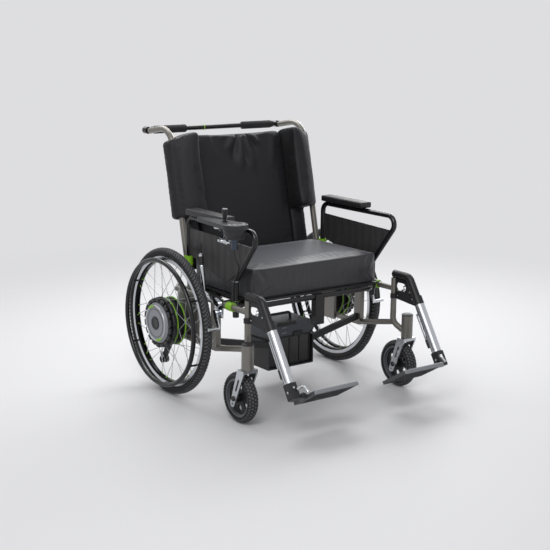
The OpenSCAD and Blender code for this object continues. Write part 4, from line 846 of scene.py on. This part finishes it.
class WHEELCHAIR_OT_hubs(bpy.types.Operator):
    """Adds the lime hub rings, the spoke nipples and the trim of the hub covers"""
    bl_idname = "wheelchair.hubs"
    bl_label = "Hub trim"

    def execute(self, context):
        for side, k in SIDES.items():
            out = (k, 0, 0)
            rings = [hoop(0.0985, 0.0032, wheel_place(side, x), out) for x in (-0.0185, 0.0185)]
            joined(rings)
            settle(f"{side}_flange_rings", "lime", f"{side}_wheel")
            nipples = []
            for flange in (-1, 1):
                for i in range(18):
                    lean = 1 if i % 2 == 0 else -1
                    a = math.radians(20 * (i + (flange + 1) / 4))
                    b = a + lean * math.radians(46)
                    foot = Vector((0.094 * math.cos(a), 0.094 * math.sin(a), flange * 0.0185 + lean * 0.0026))
                    head = Vector((0.252 * math.cos(b), 0.252 * math.sin(b), flange * 0.003))
                    way = (foot - head).normalized()
                    spot = pointing(wheel_place(side), out)
                    turn = Matrix.Rotation(k * math.pi / 2, 4, "Y")
                    at = Matrix.Translation(wheel_place(side)) @ turn
                    nipples.append(turned([(0.0024, 0), (0.0024, 0.004), (0.0017, 0.005), (0.0017, 0.010)],
                                          at @ (head + way * 0.0005), turn.to_3x3() @ way, 8))
            joined(nipples)
            settle(f"{side}_nipples", "lime", f"{side}_wheel")
            block((0.011, 0.0265, 0.0165), wheel_place(side, 0.0525) + Vector((0, 0, 0.0945)), 0.004, 3)
            round_array(context.object, wheel_place(side), (1, 0, 0), 18)
            settle(f"{side}_drum_grips", "plastic", f"{side}_wheel")
            face = wheel_place(side, 0.066)
            joined([turned([(0.028, -0.001), (0.028, 0.0015), (0.0265, 0.003), (0.020, 0.0034), (0.018, 0.0026)], face, out),
                    hoop(0.0585, 0.0011, face, out), hoop(0.0235, 0.0009, face + Vector((k * 0.0032, 0, 0)), out)])
            settle(f"{side}_cover_cap", "plastic", f"{side}_hub_cover")
            joined([hoop(0.0725, 0.0028, wheel_place(side, 0.0655), out)])
            settle(f"{side}_cover_lip", "anodised", f"{side}_hub_cover")
            marks = []
            for turn in (40, 220):
                fresh()
                bpy.ops.mesh.primitive_plane_add(size=1)
                mark = context.object
                mark.scale = (0.009, 0.0016, 1)
                bpy.ops.object.transform_apply(location=False, rotation=False, scale=True)
                mark.location = (0.0708, 0, 0.0022)
                mark.rotation_euler = (math.pi / 2, 0, 0)
                bpy.ops.object.transform_apply(location=True, rotation=True, scale=True)
                bpy.ops.object.mode_set(mode="EDIT")
                bpy.ops.mesh.select_all(action="SELECT")
                bpy.ops.mesh.spin(steps=10, angle=math.radians(32), center=(0, 0, 0), axis=(0, 0, 1))
                bpy.ops.mesh.select_all(action="SELECT")
                bpy.ops.mesh.normals_make_consistent(inside=False)
                bpy.ops.object.mode_set(mode="OBJECT")
                mark.matrix_world = pointing(face, out) @ Matrix.Rotation(math.radians(turn), 4, "Z")
                marks.append(mark)
            joined(marks)
            settle(f"{side}_cover_marks", "lime", f"{side}_hub_cover")
        return {"FINISHED"}


class WHEELCHAIR_OT_joystick(bpy.types.Operator):
    """Dresses the joystick: panel, keys, boot, stick cap and bracket knob"""
    bl_idname = "wheelchair.joystick"
    bl_label = "Joystick trim"

    def execute(self, context):
        up = (0, 0, 1)
        centre = mm(-412, -430, 768)
        turned([(0.050, -0.0005), (0.0505, 0.0008), (0.049, 0.0018), (0.040, 0.0022)], centre, up, 64)
        settle("joystick_panel", "satin", "joystick")
        keys = []
        for a in (200, 235, 270, 305, 340):
            t = math.radians(a)
            keys.append(block((0.014, 0.008, 0.0024), centre + Vector((0.036 * math.cos(t), 0.036 * math.sin(t), 0.0026)),
                              0.0011, 2, (0, 0, t + math.pi / 2)))
        joined(keys)
        settle("joystick_keys", "grey", "joystick")
        well = mm(-412, -364, 768)
        hoop(0.0152, 0.0012, well, up, 48, 8)
        settle("joystick_collar", "cable", "joystick")
        # The boot's rings start high enough to clear the collar when the stick tilts both ways
        rings = [(0.0088, 0.008), (0.01, 0.0088), (0.0084, 0.0102), (0.0096, 0.0116), (0.008, 0.013), (0.0078, 0.0145)]
        turned(rings, well, up)
        settle("joystick_boot", "cable", "joystick_stick")
        turned([(0.0072, 0), (0.0078, 0.002), (0.0096, 0.024), (0.0116, 0.036), (0.0118, 0.0405), (0.0112, 0.0415)],
               mm(-412, -364, 776), up, 40)
        settle("joystick_sleeve", "plastic", "joystick_stick")
        turned([(0.0108, 0), (0.0108, 0.0012), (0.0098, 0.0022), (0.006, 0.0028)], mm(-412, -364, 817), up, 40)
        settle("joystick_cap", "grey", "joystick_stick")
        turned([(0.028, 0), (0.034, 0.002), (0.0405, 0.012), (0.0435, 0.026), (0.0438, 0.0375)], mm(-412, -430, 715), up, 64)
        settle("joystick_bowl", "plastic", "joystick")
        knob = turned([(0.006, 0), (0.006, 0.006), (0.0115, 0.008), (0.0125, 0.011), (0.0125, 0.018), (0.011, 0.0205)],
                      mm(-355 - 16, -333, 737 - 6), (-1, 0, -0.4), 18)
        settle("bracket_knob", "plastic", "right_armrest", 30)
        turned([(0.0055, 0), (0.0095, 0.002), (0.0095, 0.026), (0.0062, 0.029), (0.0062, 0.035), (0.0108, 0.038),
                (0.0108, 0.058), (0.0062, 0.062), (0.0058, 0.078)], mm(-412, -327, 692), (0, -1, 0), 12)
        settle("bracket_sleeve", "chrome", "right_armrest", 30)
        lever = Vector((-40, 37, -3)).normalized()
        turned([(0.005, 0), (0.0065, 0.002), (0.0065, 0.022), (0.0095, 0.026), (0.0095, 0.046), (0.007, 0.052),
                (0.003, 0.0545)], mm(-368, -322, 738), lever, 10)
        settle("bracket_lever", "chrome", "right_armrest", 30)
        joined([screw(mm(-355, -333, 737 - 17), (0, 0, -1), 0.005), screw(mm(-355, -322, 737 + 16.5), (0, 0, 1), 0.004)]
               + [screw(mm(-412 - 9, y, 692), (-1, 0, 0), 0.006, 0.005) for y in (-340, -375)])
        settle("bracket_screws", "chrome", "right_armrest")
        return {"FINISHED"}


class WHEELCHAIR_OT_brakes(bpy.types.Operator):
    """Adds the brake levers' grips and pale ball tips"""
    bl_idname = "wheelchair.brakes"
    bl_label = "Brake grips"

    def execute(self, context):
        for side, k in SIDES.items():
            foot, top = mm(k * 399.8, 95 - 300, 465), mm(k * 399.8, 118 - 300, 602)
            way = (top - foot).normalized()
            turned([(0.0078, 0.004), (0.0083, 0.006), (0.0088, 0.03), (0.0098, 0.08), (0.0098, 0.102), (0.0088, 0.105)], foot, way, 40)
            settle(f"{side}_brake_handle", "chrome", f"{side}_brake_lever")
            turned([(0.0092, 0.1055), (0.0096, 0.107), (0.0093, 0.122), (0.0097, 0.139), (0.0085, 0.1405)], foot, way, 32)
            settle(f"{side}_brake_neck", "plastic", f"{side}_brake_lever")
            turned([(0.0045, 0), (0.0068, 0.0015), (0.0076, 0.005), (0.0068, 0.0085), (0.0045, 0.011), (0.0015, 0.012)],
                   top + way * 0.002, way, 32)
            settle(f"{side}_brake_ball", "grey", f"{side}_brake_lever")
        return {"FINISHED"}


class WHEELCHAIR_OT_leg_rests(bpy.types.Operator):
    """Adds the leg rests' bolts, release springs, dark strips of painted shade in the tube's grooves, and foot fittings
    """
    bl_idname = "wheelchair.leg_rests"
    bl_label = "Leg rest trim"

    def execute(self, context):
        lean = math.radians(32)
        down = Vector((0, -math.sin(lean), -math.cos(lean)))
        toe = Vector((0, -math.cos(lean), math.sin(lean)))
        up = (0, 0, 1)
        for side, k in SIDES.items():
            body = f"{side}_legrest"
            bolts = [screw(mm(k * (378 + s * 4), y, z), (k * s, 0, 0), 0.006, 0.005) for s in (1, -1)
                     for y, z in ((-572, 431), (-588, 404), (-500, 405))]
            joined(bolts)
            settle(f"{side}_hanger_bolts", "chrome", body)
            # The release lever: a bent steel spring across the window of the plate
            spring = [mm(k * 378, y, z) for y, z in ((-520, 428), (-535, 436), (-531, 446), (-546, 456), (-542, 466), (-556, 484))]
            tube(eased(spring), 0.0032)
            settle(f"{side}_release_spring", "steel", body)
            start_at = mm(k * 378, -626, 389)
            # Dark strips along the calf tube are painted shade in its grooves
            grooves = []
            for s in (1, -1):
                for turn in (-0.32, 0.32):
                    way = Vector((s * k * math.cos(turn), 0, 0)) + toe * math.sin(turn)
                    line = block((0.003, 0.003, 0.192), (0, 0, 0), 0.0007, 1)
                    line.matrix_world = pointing(start_at + down * 0.104 + way * 0.0194, down)
                    grooves.append(line)
            joined(grooves)
            settle(f"{side}_calf_groove_shade", "plastic", body)
            turned([(0.006, 0), (0.007, 0.001), (0.007, 0.112), (0.0055, 0.113)], start_at + down * 0.03 - toe * 0.0295, down, 24)
            settle(f"{side}_calf_rod", "anodised", body)
            turned([(0.0075, 0), (0.0085, 0.002), (0.0085, 0.034), (0.007, 0.036)], start_at + down * 0.143 - toe * 0.0295, down, 24)
            settle(f"{side}_calf_rod_end", "plastic", body)
            joined([block((0.012, 0.013, 0.010), start_at + down * d - toe * 0.0225, 0.002, 2) for d in (0.036, 0.136)])
            settle(f"{side}_calf_rod_lugs", "plastic", body)
            foot = f"{side}_foot_tube"
            joined([screw(start_at + down * 0.238 + Vector((k * s * 0.018, 0, 0)), (k * s, 0, 0), 0.008, 0.006) for s in (1, -1)]
                   + [screw(start_at + down * 0.226 + toe * 0.018, toe, 0.0075, 0.006)])
            settle(f"{side}_foot_bolts", "chrome", foot)
            # A light alloy neck runs from the foot bracket towards the toe of the plate
            neck = [mm(k * x, y, z) for x, y, z in ((366, -768, 200), (356, -776, 210), (350, -790, 210), (349, -804, 203), (349, -812, 197))]
            tube(eased(neck), 0.0052)
            settle(f"{side}_foot_neck", "anodised", foot)
            screw(mm(k * 352, -783, 215), up, 0.007, 0.005)
            settle(f"{side}_neck_bolt", "chrome", foot)
            # The plate's toe edge, pale as a painted highlight
            lip = block((0.2085, 0.0095, 0.016), (0, 0, 0), 0.0038, 3)
            lip.matrix_world = Matrix.Translation(mm(k * 224, -819, 200) + down * 0.007) @ Matrix.Rotation(-lean, 4, "X")
            bpy.ops.object.transform_apply(location=True, rotation=True, scale=True)
            settle(f"{side}_toe_edge_highlight", "toe_edge_highlight", f"{side}_footplate")
        return {"FINISHED"}


class WHEELCHAIR_OT_battery(bpy.types.Operator):
    """Adds the battery's ribs, latch and indicator slits"""
    bl_idname = "wheelchair.battery"
    bl_label = "Battery trim"

    def execute(self, context):
        y = -250.5
        slits = [block((0.026, 0.0015, 0.004), mm(x, y, z), 0.0007, 1) for x, z in ((-30, 269), (-30, 247))]
        joined(slits)
        settle("battery_lights", "grey", "battery")
        ribs = [block((0.006, 0.003, 0.118), mm(x, y - 1, 170), 0.0012, 2) for x in (-104, -52, 0, 52, 104)]
        ribs += [block((0.214, 0.003, 0.005), mm(0, y - 1, z), 0.0012, 2) for z in (112, 228)]
        joined(ribs)
        settle("battery_ribs", "plastic", "battery")
        # A dark block on the lid stands for the hand recess, as painted shade
        block((0.1, 0.002, 0.016), mm(-15, y - 0.3, 285), 0.0009, 2)
        settle("battery_recess_shade", "plastic", "battery")
        latch = block((0.05, 0.006, 0.022), mm(42, y - 2, 236), 0.0025, 3)
        settle("battery_latch", "plastic", "battery")
        return {"FINISHED"}


class WHEELCHAIR_OT_fittings(bpy.types.Operator):
    """Adds the push bar's end fittings, the guards' patches and the frame's screws"""
    bl_idname = "wheelchair.fittings"
    bl_label = "Fittings"

    def execute(self, context):
        bar = mm(0, 317.7, 1062)
        ends = []
        for k in SIDES.values():
            profile = [(0.0125, 0)]
            for i in range(5):
                z = 0.002 + i * 0.005
                profile += [(0.0145, z), (0.0145, z + 0.0025), (0.0125, z + 0.0035), (0.0125, z + 0.0045)]
            ends.append(turned(profile, Vector((k * 0.322, bar.y, bar.z)), (-k, 0, 0), 32))
        joined(ends)
        settle("push_bar_ends", "plastic", "push_bar", 30)
        turned([(0.0105, 0), (0.0112, 0.0008), (0.0112, 0.0042), (0.0105, 0.005)], Vector((-0.058, bar.y, bar.z)), (1, 0, 0), 32)
        settle("push_bar_band", "lime", "push_bar")
        for side, k in SIDES.items():
            screws = [screw(mm(k * 370.5, y, z), (k, 0, 0), 0.007, 0.005) for y, z in ((-95, 415), (25, 415), (-95, 262), (25, 262),
                                                                                      (-60, 350), (-60, 280))]
            screws += [screw(mm(k * 389, y, z), (k, 0, 0), 0.006, 0.005) for y, z in ((-255, 270), (-255, 330))]
            joined(screws)
            settle(f"{side}_frame_screws", "chrome", "frame")
            clips = [hoop(0.0152, 0.0016, mm(k * x, 112, 108), (1, 0, 0), 40, 8) for x in (384, 400)]
            clips.append(block((0.018, 0.006, 0.012), mm(k * 392, 112 + 16, 108), 0.0015, 2))
            clips.append(block((0.004, 0.013, 0.028), mm(k * 407.5, 106, 131), 0.0012, 2))
            joined(clips)
            settle(f"{side}_plug_clip", "steel", "frame")
            joined([turned([(0.0105, -0.001), (0.0105, 0.003), (0.008, 0.0055), (0.003, 0.006)],
                           mm(k * 413 + s * 34, -478, 100), (s, 0, 0), 24) for s in (-1, 1)])
            settle(f"{side}_fork_bolts", "plastic", f"{side}_caster_fork")
            patch = block((0.0024, 0.058, 0.040), mm(k * 357.9, -92, 620.5), 0.0009, 2)
            settle(f"{side}_guard_patch", "plastic", f"{side}_armrest")
            turned([(0.012, 0), (0.0128, 0.001), (0.0128, 0.027), (0.0172, 0.0275), (0.0177, 0.029), (0.0177, 0.066),
                    (0.0165, 0.0678), (0.0128, 0.068)], mm(k * 354.7, -360, 384.5), (0, 0, 1), 40)
            settle(f"{side}_socket_sleeve", "black", "frame")
            hoop(0.0118, 0.0022, mm(k * 354.7, -360, 528), (0, 0, 1), 40, 10)
            settle(f"{side}_arm_clip", "chrome", f"{side}_armrest")
        return {"FINISHED"}


class WHEELCHAIR_OT_stage(bpy.types.Operator):
    """Sets up the pale floor, the soft lights and the camera"""
    bl_idname = "wheelchair.stage"
    bl_label = "Stage"

    def execute(self, context):
        c = context.scene.chair_colours
        fresh()
        bpy.ops.mesh.primitive_plane_add(size=60, location=(0, 0, 0))
        floor = context.object
        floor.name = "studio_floor"
        floor.data.materials.append(studio_paint(tuple(c.floor)))
        world = bpy.data.worlds.new("studio")
        context.scene.world = world
        world.use_nodes = True
        tree = world.node_tree
        sky = tree.nodes["Background"]
        sky.inputs["Color"].default_value = tuple(c.floor)
        seen = seen_directly(tree)
        level = add(tree, "ShaderNodeMapRange", {"Value": seen, "To Min": 0.4, "To Max": 1.0})
        tree.links.new(level.outputs[0], sky.inputs["Strength"])
        target = Vector((0, 0.05, 0.5))
        for name, place, size, power in (("key_panel", (-2.6, -2.2, 3.2), 2.2, 78), ("top_panel", (0.2, 1.5, 2.9), 2.4, 70),
                                         ("rim_panel", (2.8, 1.6, 2.2), 1.8, 52)):
            bpy.ops.object.light_add(type="AREA", location=place)
            lamp = context.object
            lamp.name = name
            lamp.data.energy = power
            lamp.data.shape = "SQUARE"
            lamp.data.size = size
            lamp.rotation_euler = (target - Vector(place)).to_track_quat("-Z", "Y").to_euler()
        az, el, roll = math.radians(-36.23), math.radians(12.04), math.radians(0.53)
        back = Vector((math.sin(az) * math.cos(el), -math.cos(az) * math.cos(el), math.sin(el)))
        right = Vector((math.cos(az), math.sin(az), 0))
        up = back.cross(right)
        right, up = right * math.cos(roll) + up * math.sin(roll), up * math.cos(roll) - right * math.sin(roll)
        eye = mm(0, 0, 455.45) + back * 4.9756
        data = bpy.data.cameras.new("studio_camera")
        camera = bpy.data.objects.new("studio_camera", data)
        context.scene.collection.objects.link(camera)
        camera.matrix_world = Matrix.Translation(eye) @ Matrix((right, up, back)).transposed().to_4x4()
        data.sensor_width = 36
        data.lens = 75.317
        data.shift_x = 0.0364
        data.shift_y = -0.0037
        context.scene.camera = camera
        context.scene.view_settings.view_transform = "Standard"
        return {"FINISHED"}


class WHEELCHAIR_PT_panel(bpy.types.Panel):
    bl_label = "Wheelchair"
    bl_space_type = "VIEW_3D"
    bl_region_type = "UI"
    bl_category = "Wheelchair"

    def draw(self, context):
        for step in STEPS:
            self.layout.operator(step.bl_idname)


STEPS = (WHEELCHAIR_OT_finishes, WHEELCHAIR_OT_stage, WHEELCHAIR_OT_cable, WHEELCHAIR_OT_seat, WHEELCHAIR_OT_back,
         WHEELCHAIR_OT_pads, WHEELCHAIR_OT_grips, WHEELCHAIR_OT_tyres, WHEELCHAIR_OT_hubs, WHEELCHAIR_OT_joystick,
         WHEELCHAIR_OT_brakes, WHEELCHAIR_OT_leg_rests, WHEELCHAIR_OT_battery, WHEELCHAIR_OT_fittings)
CLASSES = (ChairColours, ChairSizes) + STEPS + (WHEELCHAIR_PT_panel,)


def register():
    for cls in CLASSES:
        bpy.utils.register_class(cls)
    bpy.types.Scene.chair_colours = PointerProperty(type=ChairColours)
    bpy.types.Scene.chair_sizes = PointerProperty(type=ChairSizes)


def unregister():
    del bpy.types.Scene.chair_sizes
    del bpy.types.Scene.chair_colours
    for cls in reversed(CLASSES):
        bpy.utils.unregister_class(cls)


def main():
    register()
    for step in STEPS:
        group, name = step.bl_idname.split(".")
        getattr(getattr(bpy.ops, group), name)()


if __name__ == "__main__":
    main()
